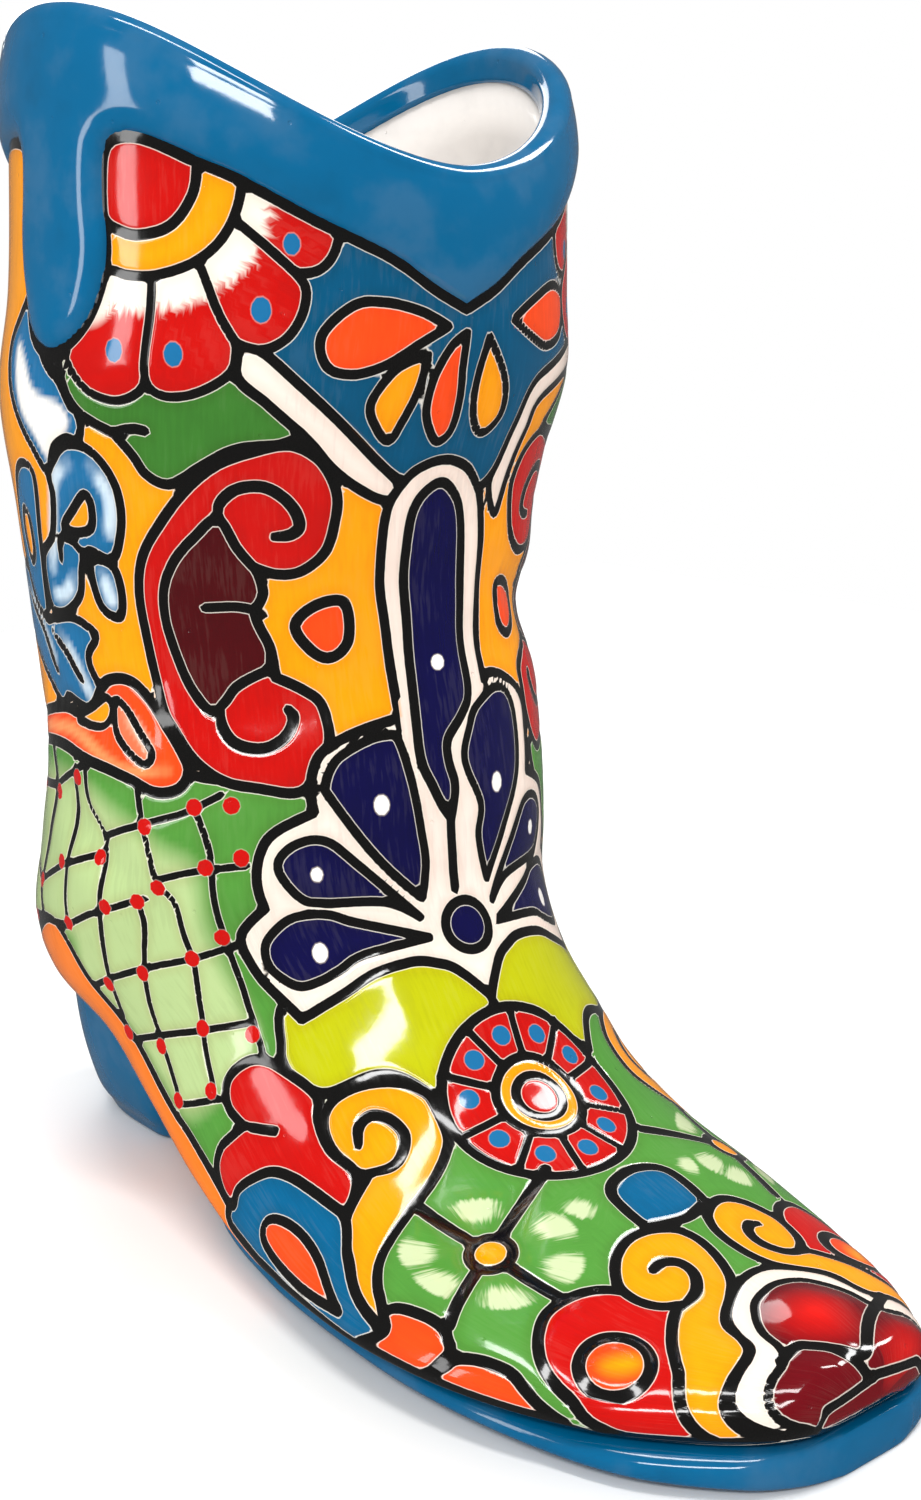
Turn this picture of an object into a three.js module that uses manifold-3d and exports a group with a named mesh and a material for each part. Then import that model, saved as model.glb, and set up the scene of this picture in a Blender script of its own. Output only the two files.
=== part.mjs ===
// Cowboy-boot flower vase in glazed talavera earthenware, about 305 mm tall.
// Millimetres, +Z up, toe towards -Y, heel towards +Y, the origin under the
// middle of the boot on the table.
import * as THREE from 'three';
import { ParametricGeometry } from 'three/addons/geometries/ParametricGeometry.js';
import { mergeVertices } from 'three/addons/utils/BufferGeometryUtils.js';
import Module from 'manifold-3d';

const wasm = await Module();
wasm.setup();
const { Manifold, Mesh } = wasm;

// ---------------------------------------------------------------- sizes
const WALL = 6;              // thickness of the clay
const GAP = 0.3;             // clearance between neighbouring pieces
const CENTRE_Y = 62;         // shaft axis, measured from the middle of the boot
const RIM_DIP = 268;         // height of the rim at the front and the back
const RIM_RISE = 37;         // how much higher the rim is at the two sides
const COLLAR_BULGE = 2.8;    // how far the rolled collar stands out
const STRAP_AT = 84;         // degrees from the front to the middle of a strap
const STRAP_HALF = 14.5;     // half the strap's width, degrees
const STRAP_FOOT = 227;      // height of the strap's rounded lower end
const STRAP_THICK = 3.4;
const SOLE_THICK = 8.5;

// The outside of the boot is a loft. Each row is one slice:
// front y, front z, back y, back z, left half width, right half width,
// place of the widest point from front to back, squareness towards the sole.
// The slices lie flat in the shaft, fan round the ankle and stand upright
// in the foot. The right side of the foot is the slimmer one.
const SLICES = [
  [-70, 300, 72, 300, 70, 70, 0.5, 2],        // rim
  [-70, 270, 72, 270, 71, 71, 0.5, 2],
  [-70, 240, 75, 240, 72, 72, 0.5, 2],
  [-68, 220, 78, 212, 75, 75, 0.5, 2],        // calf swell
  [-60, 198, 76, 180, 71, 71, 0.5, 2],
  [-57, 176, 77, 150, 67, 67, 0.5, 2],        // fold above the ankle
  [-57, 158, 75, 125, 65, 65, 0.5, 2],
  [-61, 140, 71, 104, 67, 67, 0.5, 2],        // fold at the back
  [-65, 122, 78, 84, 68, 68, 0.5, 2],
  [-67, 105, 79, 62, 69, 69, 0.53, 2.1],      // heel counter
  [-70, 90, 68, 46, 65, 66, 0.57, 2.3],
  [-80, 73, 37, 37, 60, 62, 0.62, 2.6],       // instep
  [-91, 58, 8, 26, 60, 64, 0.67, 3],
  [-102, 48, -24, 15, 62, 63, 0.74, 3.4],     // waist
  [-120, 39, -62, 9, 66, 61, 0.79, 4],
  [-139, 34, -100, 9, 69, 57, 0.82, 4],       // ball of the foot
  [-153, 30, -125, 9, 67, 53, 0.82, 4],
  [-167, 27, -148, 9, 61, 48, 0.82, 4],
  [-181, 26, -170, 9, 51, 41, 0.82, 4],
  [-193, 25.5, -187, 9, 38, 32, 0.8, 3.5],
  [-201, 24, -198, 9.5, 27, 24, 0.74, 3],
  [-204.5, 20, -203, 11, 19, 17, 0.62, 3],    // toe end
];

// ---------------------------------------------------------------- helpers
const clamp = (v, a, b) => Math.min(b, Math.max(a, v));
const lerp = (a, b, t) => a + (b - a) * t;
const signedPow = (v, p) => Math.sign(v) * Math.abs(v) ** p;

// Uniform Catmull-Rom through the rows of a table, t from 0 to 1.
function along(table, t) {
  const last = table.length - 1;
  const at = clamp(t, 0, 1) * last;
  const i = Math.min(Math.floor(at), last - 1);
  const w = at - i;
  const row = (k) => table[clamp(k, 0, last)];
  return row(i).map((p1, c) => {
    const p0 = row(i - 1)[c], p2 = row(i + 1)[c], p3 = row(i + 2)[c];
    const v0 = (p2 - p0) / 2, v1 = (p3 - p1) / 2;
    return (2 * p1 - 2 * p2 + v0 + v1) * w ** 3
      + (-3 * p1 + 3 * p2 - 2 * v0 - v1) * w ** 2 + v0 * w + p1;
  });
}

// Height of the rim and of the collar's lower edge, by the angle round the
// shaft: 0 at the front, a quarter turn at a side.
const rimHeight = (angle) => RIM_DIP + RIM_RISE * Math.abs(Math.sin(angle)) ** 1.8;
const COLLAR_EDGE = new THREE.SplineCurve([
  new THREE.Vector2(0, 236.5), new THREE.Vector2(15, 245), new THREE.Vector2(30, 256),
  new THREE.Vector2(45, 266), new THREE.Vector2(65, 275), new THREE.Vector2(90, 279),
]);
function collarEdge(angle) {
  const fromFront = THREE.MathUtils.radToDeg(Math.asin(Math.abs(Math.sin(angle))));
  let low = 0, high = 1;
  for (let i = 0; i < 24; i++) {
    const mid = (low + high) / 2;
    if (COLLAR_EDGE.getPoint(mid).x < fromFront) low = mid; else high = mid;
  }
  return COLLAR_EDGE.getPoint(low).y;
}

// One point of a slice moved inwards by `inset`; `angle` runs round the
// slice from the front towards +X.
function slicePoint(row, angle, inset) {
  const [fy, fz, by, bz, left, right, widest, square] = row;
  const depth = Math.hypot(by - fy, bz - fz);
  const uy = (by - fy) / depth, uz = (bz - fz) / depth;
  const fronty = fy + uy * inset, frontz = fz + uz * inset;
  const backy = by - uy * inset, backz = bz - uz * inset;
  const cy = lerp(fy, by, widest), cz = lerp(fz, bz, widest);
  const s = Math.sin(angle), c = Math.cos(angle);
  const n = c >= 0 ? 2 : square;
  const half = (s >= 0 ? right : left) - inset;
  const k = Math.abs(c) ** (2 / n);
  const toy = c >= 0 ? fronty : backy, toz = c >= 0 ? frontz : backz;
  return new THREE.Vector3(
    half * signedPow(s, 2 / n),
    cy + k * (toy - cy) + CENTRE_Y,
    cz + k * (toz - cz),
  );
}

// A point of the boot's outside, moved inwards by `inset`.
const bootPoint = (t, angle, inset) => slicePoint(along(SLICES, t), angle, inset);

// The point of the shaft at height z, moved inwards by `inset`.
function shaftPoint(angle, z, inset) {
  let upper = 0, lower = 6 / (SLICES.length - 1);
  for (let i = 0; i < 30; i++) {
    const mid = (upper + lower) / 2;
    if (bootPoint(mid, angle, 0).z > z) upper = mid; else lower = mid;
  }
  const p = bootPoint(upper, angle, inset);
  p.z = z;
  return p;
}

// Closed body from rows of points: `ring(t, angle)` is swept over t, and both
// ends are closed on the middle of their ring.
function sweep(ring, steps, around) {
  const ends = [0, 1].map((t) => {
    const middle = new THREE.Vector3();
    for (let i = 0; i < around; i++) middle.add(ring(t, (i / around) * 2 * Math.PI));
    return middle.divideScalar(around);
  });
  const rows = steps + 2;
  const shape = new ParametricGeometry((u, v, target) => {
    const j = Math.round(v * rows);
    if (j === 0) target.copy(ends[0]);
    else if (j === rows) target.copy(ends[1]);
    else target.copy(ring((j - 1) / steps, (Math.round(u * around) % around) / around * 2 * Math.PI));
  }, around, rows);
  return shape;
}

// three.js geometry to manifold and back; triangles that have shrunk to a
// line or a point at a closed end are dropped.
function toSolid(geometry) {
  const bare = new THREE.BufferGeometry();
  bare.setAttribute('position', geometry.getAttribute('position'));
  bare.setIndex(geometry.getIndex());
  const welded = mergeVertices(bare, 1e-4);
  const index = welded.getIndex().array;
  const kept = [];
  for (let i = 0; i < index.length; i += 3) {
    const [a, b, c] = [index[i], index[i + 1], index[i + 2]];
    if (a !== b && b !== c && c !== a) kept.push(a, b, c);
  }
  const build = (tris) => new Manifold(new Mesh({
    numProp: 3,
    vertProperties: Float32Array.from(welded.getAttribute('position').array),
    triVerts: Uint32Array.from(tris),
  }));
  const solid = build(kept);
  if (solid.volume() > 0) return solid;
  const turned = [];
  for (let i = 0; i < kept.length; i += 3) turned.push(kept[i], kept[i + 2], kept[i + 1]);
  return build(turned);
}
function toMesh(solid, name, colour, roughness) {
  const data = solid.getMesh();
  const geometry = new THREE.BufferGeometry();
  const places = new Float32Array((data.vertProperties.length / data.numProp) * 3);
  for (let i = 0; i < places.length / 3; i++) {
    for (let k = 0; k < 3; k++) places[i * 3 + k] = data.vertProperties[i * data.numProp + k];
  }
  geometry.setAttribute('position', new THREE.BufferAttribute(places, 3));
  geometry.setIndex(new THREE.BufferAttribute(Uint32Array.from(data.triVerts), 1));
  geometry.computeVertexNormals();
  const mesh = new THREE.Mesh(geometry, new THREE.MeshStandardMaterial({ color: colour, roughness }));
  mesh.name = name;
  return mesh;
}

// ---------------------------------------------------------------- boot shell
const outside = toSolid(sweep((t, a) => bootPoint(t, a, 0), 50, 56));

// The room inside: open through the top, ending short of the toe, with its
// own floor above the sole.
const HOLLOW_END = 18.6 / (SLICES.length - 1);
const hollow = toSolid(sweep((t, a) => bootPoint(t * HOLLOW_END, a, WALL), 34, 40));

// The wall ends just under the collar, which carries the rim.
const AROUND = 72;
const ringTurn = (v) => ((Math.round(v * AROUND) % AROUND) / AROUND) * 2 * Math.PI;
const overWall = [[12, 0], [-12, 0], [-12, 1], [12, 1]];
const trim = toSolid(new ParametricGeometry((u, v, target) => {
  const angle = ringTurn(v);
  const [inset, up] = overWall[Math.round(u * overWall.length) % overWall.length];
  const z = lerp(collarEdge(angle) - GAP, 320, up);
  target.copy(shaftPoint(angle, collarEdge(angle), inset));
  target.z = z;
}, overWall.length, AROUND));
const shell = outside.subtract(hollow).subtract(trim);

// A slightly larger boot, used to carve the seats of the sole and the heel.
const seat = toSolid(sweep((t, a) => bootPoint(t, a, -GAP), 50, 56));

// ---------------------------------------------------------------- collar
// Section of the rolled collar: distance out from the shaft and height share
// from the collar's lower edge (0) to the rim (1).
const COLLAR_SECTION = [
  [-WALL, 0], [0.2, 0], [1.7, 0.05], [2.5, 0.2], [COLLAR_BULGE, 0.45],
  [2.4, 0.72], [1.2, 0.9], [-1, 0.985], [-3, 1], [-5, 0.97], [-WALL, 0.88], [-WALL, 0.4],
];
const collar = toSolid(new ParametricGeometry((u, v, target) => {
  const angle = ringTurn(v);
  const [out, share] = COLLAR_SECTION[Math.round(u * COLLAR_SECTION.length) % COLLAR_SECTION.length];
  target.copy(shaftPoint(angle, lerp(collarEdge(angle), rimHeight(angle), share), -out));
}, COLLAR_SECTION.length, AROUND));

// ---------------------------------------------------------------- straps
// Rounded pull strap lying on the shaft below the collar; `side` is -1 for
// the left strap and 1 for the right one.
function strap(side) {
  const middle = THREE.MathUtils.degToRad(STRAP_AT);
  const half = THREE.MathUtils.degToRad(STRAP_HALF);
  const section = [[-1, GAP], [-0.98, 1.3], [-0.8, 2.7], [-0.4, STRAP_THICK], [0, STRAP_THICK],
    [0.4, STRAP_THICK], [0.8, 2.7], [0.98, 1.3], [1, GAP], [0.5, GAP], [0, GAP], [-0.5, GAP]];
  const steps = 16;
  return toSolid(sweep((t, a) => {
    const k = Math.round((a / (2 * Math.PI)) * section.length) % section.length;
    const [across, out] = section[k];
    const rise = t * t;                              // closer rows at the rounded end
    const width = half * Math.sqrt(1 - (1 - Math.min(1, 0.05 + rise * 2.2)) ** 2);
    const angle = side * (middle + across * width);
    const z = lerp(STRAP_FOOT, collarEdge(angle) - GAP, rise);
    const thin = Math.min(1, 0.35 + rise * 5);
    return shaftPoint(angle, z, -(GAP + (out - GAP) * thin));
  }, steps, section.length));
}

// ---------------------------------------------------------------- sole
// Half widths of the sole on the left and the right at stations along the
// foot, with the height of its underside: y, left, right, underside.
const SOLE = [
  [-6, 42, 42, 13.5], [-14, 46, 46, 11], [-42, 56, 56, 3], [-71, 61, 60, 0],
  [-100, 63, 58, 0], [-127, 62.5, 52, 0], [-155, 57.5, 46, 0], [-178, 49, 38, 0],
  [-195, 35, 28, 0], [-202, 24, 21, 0], [-204.5, 14, 13, 0],
];
const SOLE_EDGE = [[-1, 0.4], [-0.97, 0.15], [-0.9, 0], [0, 0], [0.9, 0], [0.97, 0.15], [1, 0.4],
  [1, 0.7], [0.97, 0.9], [0.92, 1], [0, 1], [-0.92, 1], [-0.97, 0.9], [-1, 0.7]];
const wholeSole = toSolid(sweep((t, a) => {
  const [y, left, right, under] = along(SOLE, t);
  const k = Math.round((a / (2 * Math.PI)) * SOLE_EDGE.length) % SOLE_EDGE.length;
  const [across, up] = SOLE_EDGE[k];
  const thick = SOLE_THICK * clamp(-y / 60, 0.6, 1) + 1.5;
  return new THREE.Vector3(across * (across < 0 ? left : right), y + CENTRE_Y, Math.max(0, under) + up * thick);
}, 40, SOLE_EDGE.length));

// ---------------------------------------------------------------- heel
// Rings of the heel block from the table up: height, half width, back y,
// breast (front) y.
const HEEL = [
  [0, 32.5, 72.5, 22], [1.2, 34, 74, 20.5], [4, 35.5, 75.5, 19.5], [10, 39, 78, 18], [25, 43.5, 80, 14],
  [42, 46, 80.5, 6], [58, 46, 79, 2],
];
const wholeHeel = toSolid(sweep((t, a) => {
  const [z, half, back, breast] = along(HEEL, t);
  const c = Math.cos(a), s = Math.sin(a);
  const middle = back - half * 0.95;
  const x = half * signedPow(s, 2 / 2.6);
  const y = c >= 0
    ? middle + (back - middle) * Math.abs(c) ** (2 / 2.6)
    : middle - (middle - breast) * Math.abs(c) ** (2 / 7);
  return new THREE.Vector3(x, y + CENTRE_Y, z);
}, 18, 48));
const heel = wholeHeel.subtract(seat);
// The sole stops at the heel's breast.
const grownHeel = toSolid(sweep((t, a) => {
  const [z, half, back, breast] = along(HEEL, t);
  const c = Math.cos(a), s = Math.sin(a);
  const middle = back - half * 0.95;
  const x = (half + GAP) * signedPow(s, 2 / 2.6);
  const y = c >= 0
    ? middle + (back + GAP - middle) * Math.abs(c) ** (2 / 2.6)
    : middle - (middle - breast + GAP) * Math.abs(c) ** (2 / 7);
  return new THREE.Vector3(x, y + CENTRE_Y, z * 1.02 - 0.3);
}, 18, 48));
const sole = wholeSole.subtract(seat).subtract(grownHeel);

// ---------------------------------------------------------------- assembly
const BLUE = 0x1f5f96, PAINTED = 0xe7b13b;
const boot = new THREE.Group();
boot.name = 'boot_vase';
boot.add(
  toMesh(shell, 'boot_shell', PAINTED, 0.25),
  toMesh(collar, 'rim_collar', BLUE, 0.2),
  toMesh(strap(-1), 'pull_strap_left', BLUE, 0.2),
  toMesh(strap(1), 'pull_strap_right', BLUE, 0.2),
  toMesh(sole, 'sole', BLUE, 0.2),
  toMesh(heel, 'heel', BLUE, 0.2),
);
export default boot;
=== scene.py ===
import math

import bmesh
import bpy
import numpy as np
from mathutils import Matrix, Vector


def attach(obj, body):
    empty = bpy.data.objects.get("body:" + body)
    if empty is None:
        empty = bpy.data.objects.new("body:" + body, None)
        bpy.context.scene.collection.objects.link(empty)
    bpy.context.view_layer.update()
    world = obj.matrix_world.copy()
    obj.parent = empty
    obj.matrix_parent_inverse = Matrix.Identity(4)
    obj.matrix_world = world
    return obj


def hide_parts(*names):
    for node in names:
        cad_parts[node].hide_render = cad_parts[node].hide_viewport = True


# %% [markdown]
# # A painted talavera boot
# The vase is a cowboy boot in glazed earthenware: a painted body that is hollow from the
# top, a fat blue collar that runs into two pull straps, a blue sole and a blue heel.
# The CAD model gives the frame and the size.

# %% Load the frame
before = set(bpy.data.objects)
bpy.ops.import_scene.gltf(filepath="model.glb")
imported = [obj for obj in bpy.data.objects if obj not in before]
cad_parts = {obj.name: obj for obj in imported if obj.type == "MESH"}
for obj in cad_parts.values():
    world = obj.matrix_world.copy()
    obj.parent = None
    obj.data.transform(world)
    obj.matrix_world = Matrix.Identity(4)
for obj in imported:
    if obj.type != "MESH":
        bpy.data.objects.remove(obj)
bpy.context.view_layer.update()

# %% [markdown]
# ## The form of the boot
# A boot can be sculpted, but a potter's form is easier to hold as a loft: a row of slices
# that lie flat in the shaft, fan round the ankle and stand upright in the foot. Every
# piece of this model is bent from a flat grid onto that loft, so they all fit each other.
# Each row is: front y, front z, back y, back z, left half width, right half width, place
# of the widest point, squareness towards the sole. Millimetres, the shaft's axis at y 0.

# %% The loft's slices
CENTRE_Y = 62
SLICES = np.array([
    [-70, 300, 72, 300, 70, 70, 0.5, 2],
    [-70, 270, 72, 270, 71, 71, 0.5, 2],
    [-70, 240, 75, 240, 72, 72, 0.5, 2],
    [-68, 220, 78, 212, 75, 75, 0.5, 2],
    [-60, 198, 76, 180, 71, 71, 0.5, 2],
    [-57, 176, 77, 150, 67, 67, 0.5, 2],
    [-57, 158, 75, 125, 65, 65, 0.5, 2],
    [-61, 140, 71, 104, 67, 67, 0.5, 2],
    [-65, 122, 78, 84, 68, 68, 0.5, 2],
    [-67, 105, 79, 62, 69, 69, 0.53, 2.1],
    [-70, 90, 68, 46, 65, 66, 0.57, 2.3],
    [-80, 73, 37, 37, 60, 62, 0.62, 2.6],
    [-91, 58, 8, 26, 60, 64, 0.67, 3],
    [-102, 48, -24, 15, 62, 63, 0.74, 3.4],
    [-120, 39, -62, 9, 66, 61, 0.79, 4],
    [-139, 34, -100, 9, 69, 57, 0.82, 4],
    [-153, 30, -125, 9, 67, 53, 0.82, 4],
    [-167, 27, -148, 9, 61, 48, 0.82, 4],
    [-181, 26, -170, 9, 51, 41, 0.82, 4],
    [-193, 25.5, -187, 9, 38, 32, 0.8, 3.5],
    [-201, 24, -198, 9.5, 27, 24, 0.74, 3],
    [-204.5, 20, -203, 11, 19, 17, 0.62, 3],
])


def along(table, t):
    """Smooth curve through the rows of a table, at t from 0 to 1."""
    last = len(table) - 1
    at = np.clip(t, 0, 1) * last
    i = np.minimum(np.floor(at).astype(int), last - 1)
    w = (at - i)[:, None]
    before, start, end, after = (table[np.clip(i + k, 0, last)] for k in (-1, 0, 1, 2))
    v0, v1 = (end - before) / 2, (after - start) / 2
    bend = (2 * start - 2 * end + v0 + v1) * w**3
    return bend + (3 * end - 3 * start - 2 * v0 - v1) * w**2 + v0 * w + start


def boot_point(t, turn, inset=0.0):
    """Points of the boot in mm. turn is in degrees from the front line to the left."""
    t, turn = (np.ravel(a) for a in np.broadcast_arrays(t, turn))
    front_y, front_z, back_y, back_z, left, right, widest, square = along(SLICES, t).T
    depth = np.hypot(back_y - front_y, back_z - front_z)
    uy, uz = (back_y - front_y) / depth, (back_z - front_z) / depth
    cy = front_y + (back_y - front_y) * widest
    cz = front_z + (back_z - front_z) * widest
    s, c = np.sin(np.radians(turn)), np.cos(np.radians(turn))
    fore = c >= 0
    power = 2 / np.where(fore, 2, square)
    to_y = np.where(fore, front_y + uy * inset, back_y - uy * inset)
    to_z = np.where(fore, front_z + uz * inset, back_z - uz * inset)
    half = np.where(s >= 0, left, right) - inset
    k = np.abs(c) ** power
    x = -half * np.sign(s) * np.abs(s) ** power
    return np.stack([x, cy + k * (to_y - cy) + CENTRE_Y, cz + k * (to_z - cz)], -1)


print("front line runs from", boot_point(0.0, 0)[0].round(1), "to", boot_point(1.0, 0)[0].round(1))

# %% [markdown]
# ## A chart for the painter
# The painting needs a map of the boot. Its two numbers are the degrees round from the
# front line (plus is the boot's left) and the millimetres down the front line from the
# top. Both are easy to read off the pot with a tape.

# %% Millimetres down the front line
_fine_t = np.linspace(0, 1, 2000)
_steps = np.linalg.norm(np.diff(boot_point(_fine_t, 0), axis=0), axis=1)
_fine_down = np.concatenate([[0], np.cumsum(_steps)])
DOWN_END = _fine_down[-1]


def t_at_down(down):
    return np.interp(down, _fine_down, _fine_t)


def on_boot(chart):
    """Places in mm of chart points (turn, down)."""
    return boot_point(t_at_down(chart[:, 1]), chart[:, 0])


def t_at_height(turn, z):
    """The slice that passes through height z of the shaft, by halving."""
    low, high = np.zeros(len(turn)), np.full(len(turn), 6 / (len(SLICES) - 1))
    for _ in range(26):
        mid = (low + high) / 2
        above = boot_point(mid, turn)[:, 2] > z
        low, high = np.where(above, mid, low), np.where(above, high, mid)
    return low


print("front line is", round(DOWN_END), "mm long")

# %% [markdown]
# The rim swoops: high at the two sides, low at the front and the back. The collar's lower
# edge follows it.

# %% Rim and collar heights
COLLAR_EDGE = np.array([[0, 236.5], [15, 245], [30, 256], [45, 266], [65, 275], [90, 279]])


def from_front(turn):
    return np.degrees(np.arcsin(np.abs(np.sin(np.radians(turn)))))


def rim_height(turn):
    return 268 + 37 * np.abs(np.sin(np.radians(turn))) ** 1.8


def collar_edge(turn):
    edge = along(COLLAR_EDGE, np.linspace(0, 1, 90))
    return np.interp(from_front(turn), edge[:, 0], edge[:, 1])


print("rim", rim_height(0.0), "to", rim_height(90.0), "mm")

# %% [markdown]
# ## Bending a grid
# Each skin starts as Blender's own grid. The grid's two directions, 0 to 1, are handed to
# a function that says where each corner goes. Where the grid's sides meet, or a whole row
# shrinks to one point, the doubles are merged and the skin is closed.

# %% Grid to skin


def bent_grid(bm, across, down, place):
    """Adds a grid to bm and bends it with place(u, w), which gives mm. Returns u and w."""
    made = bmesh.ops.create_grid(bm, x_segments=across, y_segments=down, size=0.5)
    corners = made["verts"]
    u, w = (np.array([v.co[:2] for v in corners]) + 0.5).T
    for corner, point in zip(corners, place(u, w) * 0.001):
        corner.co = point
    return corners, u, w


def closed(bm, merge=2e-6):
    """Merges doubles and turns the faces outwards."""
    bmesh.ops.remove_doubles(bm, verts=bm.verts, dist=merge)
    bmesh.ops.dissolve_degenerate(bm, dist=1e-7, edges=bm.edges)
    bmesh.ops.recalc_face_normals(bm, faces=bm.faces)
    for face in bm.faces:
        face.smooth = True


def to_piece(bm, name, material, nodes):
    """Makes the piece from bm, and lets it ride on the frame in place of its CAD nodes."""
    mesh = bpy.data.meshes.new(name)
    bm.to_mesh(mesh)
    bm.free()
    piece = bpy.data.objects.new(name, mesh)
    bpy.context.scene.collection.objects.link(piece)
    mesh.materials.append(material)
    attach(piece, "root")
    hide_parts(*nodes)
    print(name, "has", len(mesh.polygons), "faces")
    return piece


# %% [markdown]
# ## Paint
# The colours are the fired glazes, as they look in daylight.

# %% The palette


def glaze(r, g, b):
    """A given colour, as the shader wants it."""
    return tuple(((c / 255 + 0.055) / 1.055) ** 2.4 if c > 10 else c / 255 / 12.92 for c in (r, g, b))


YELLOW = glaze(255, 160, 0)
RED = glaze(197, 10, 4)
ORANGE = glaze(250, 76, 20)
MAROON = glaze(74, 6, 12)
WINE = glaze(106, 4, 16)
COBALT = glaze(8, 6, 66)
CREAM = glaze(250, 234, 222)
WHITE = glaze(250, 246, 240)
LEAF = glaze(60, 122, 44)
GRASS = glaze(82, 148, 58)
LIME = glaze(188, 191, 6)
MINT = glaze(180, 204, 140)
SKY = glaze(26, 108, 158)
TRIM = glaze(0, 95, 140)
YOKE = glaze(0, 82, 120)
INK = glaze(12, 11, 10)
print("palette ready")

# %% [markdown]
# ## The painter's tools
# The painting is kept on the corners of a fine skin. For each corner the tools note the
# glaze colour, and how far it is in millimetres to the edge of the nearest black line, so
# that the shader can draw a crisp line between corners. Shapes are laid one over another,
# as a painter would, and a shape's own outline hides what lies under it.

# %% Curves on the chart


def curve(points, is_closed=True, per_step=7):
    """A smooth line through chart points. A third number, 0, marks a sharp corner."""
    knots = np.array([p[:2] for p in points], float)
    soft = np.array([0.0 if len(p) == 3 else 0.5 for p in points])[:, None]
    if is_closed:
        slope = (np.roll(knots, -1, 0) - np.roll(knots, 1, 0)) * soft
        ends, end_slopes = np.roll(knots, -1, 0), np.roll(slope, -1, 0)
    else:
        slope = np.gradient(knots, axis=0) * soft * 2
        knots, ends, slope, end_slopes = knots[:-1], knots[1:], slope[:-1], slope[1:]
    w = np.linspace(0, 1, per_step, endpoint=False)[None, :, None]
    a, b, va, vb = (x[:, None, :] for x in (knots, ends, slope, end_slopes))
    line = (2 * a - 2 * b + va + vb) * w**3 + (3 * b - 3 * a - 2 * va - vb) * w**2 + va * w + a
    line = line.reshape(-1, 2)
    return line if is_closed else np.vstack([line, ends[-1:]])


def mirrored(points, axis):
    return [(2 * axis - p[0], *p[1:]) for p in points][::-1]


def moved(points, turn, down):
    return [(p[0] + turn, p[1] + down, *p[2:]) for p in points]


def circle(turn, down, radius, count=12):
    """Chart points of a round spot of that radius in mm."""
    t = t_at_down(down)
    turn_mm = np.linalg.norm(boot_point(t, turn + 1.0) - boot_point(t, turn - 1.0)) / 2
    above, below = (boot_point(t_at_down(down + step), turn) for step in (-1.0, 1.0))
    down_mm = np.linalg.norm(below - above) / 2
    angles = np.radians(np.linspace(0, 360, count, endpoint=False))
    return [(turn + radius / turn_mm * math.cos(a), down + radius / down_mm * math.sin(a))
            for a in angles]


def inside(outline, chart):
    """Which chart points lie inside a closed outline, by counting crossings."""
    ax, ay = outline[:, 0][None], outline[:, 1][None]
    bx, by = np.roll(outline, -1, 0).T[:, None]
    px, py = chart[:, 0][:, None], chart[:, 1][:, None]
    spans = (ay > py) != (by > py)
    with np.errstate(divide="ignore", invalid="ignore"):
        cross = ax + (py - ay) * (bx - ax) / (by - ay)
    return (np.sum(spans & (px < cross), axis=1) % 2) == 1


def reach(places, line):
    """Distance in mm from places to a line of points, and the nearest step of it."""
    start, step = line[:-1], np.diff(line, axis=0)
    length = np.maximum(np.sum(step * step, axis=1), 1e-9)
    best, nearest = np.empty(len(places)), np.empty(len(places), int)
    for i in range(0, len(places), 2500):
        gap = places[i:i + 2500, None, :] - start[None]
        share = np.clip(np.sum(gap * step[None], axis=2) / length, 0, 1)
        gap -= share[..., None] * step[None]
        square = np.sum(gap * gap, axis=2)
        nearest[i:i + 2500] = square.argmin(axis=1)
        best[i:i + 2500] = np.sqrt(square.min(axis=1))
    return best, nearest


print("a test circle:", [tuple(round(float(x), 1) for x in p) for p in circle(0, 100, 5, count=4)])

# %% The painted skin's notes


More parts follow.
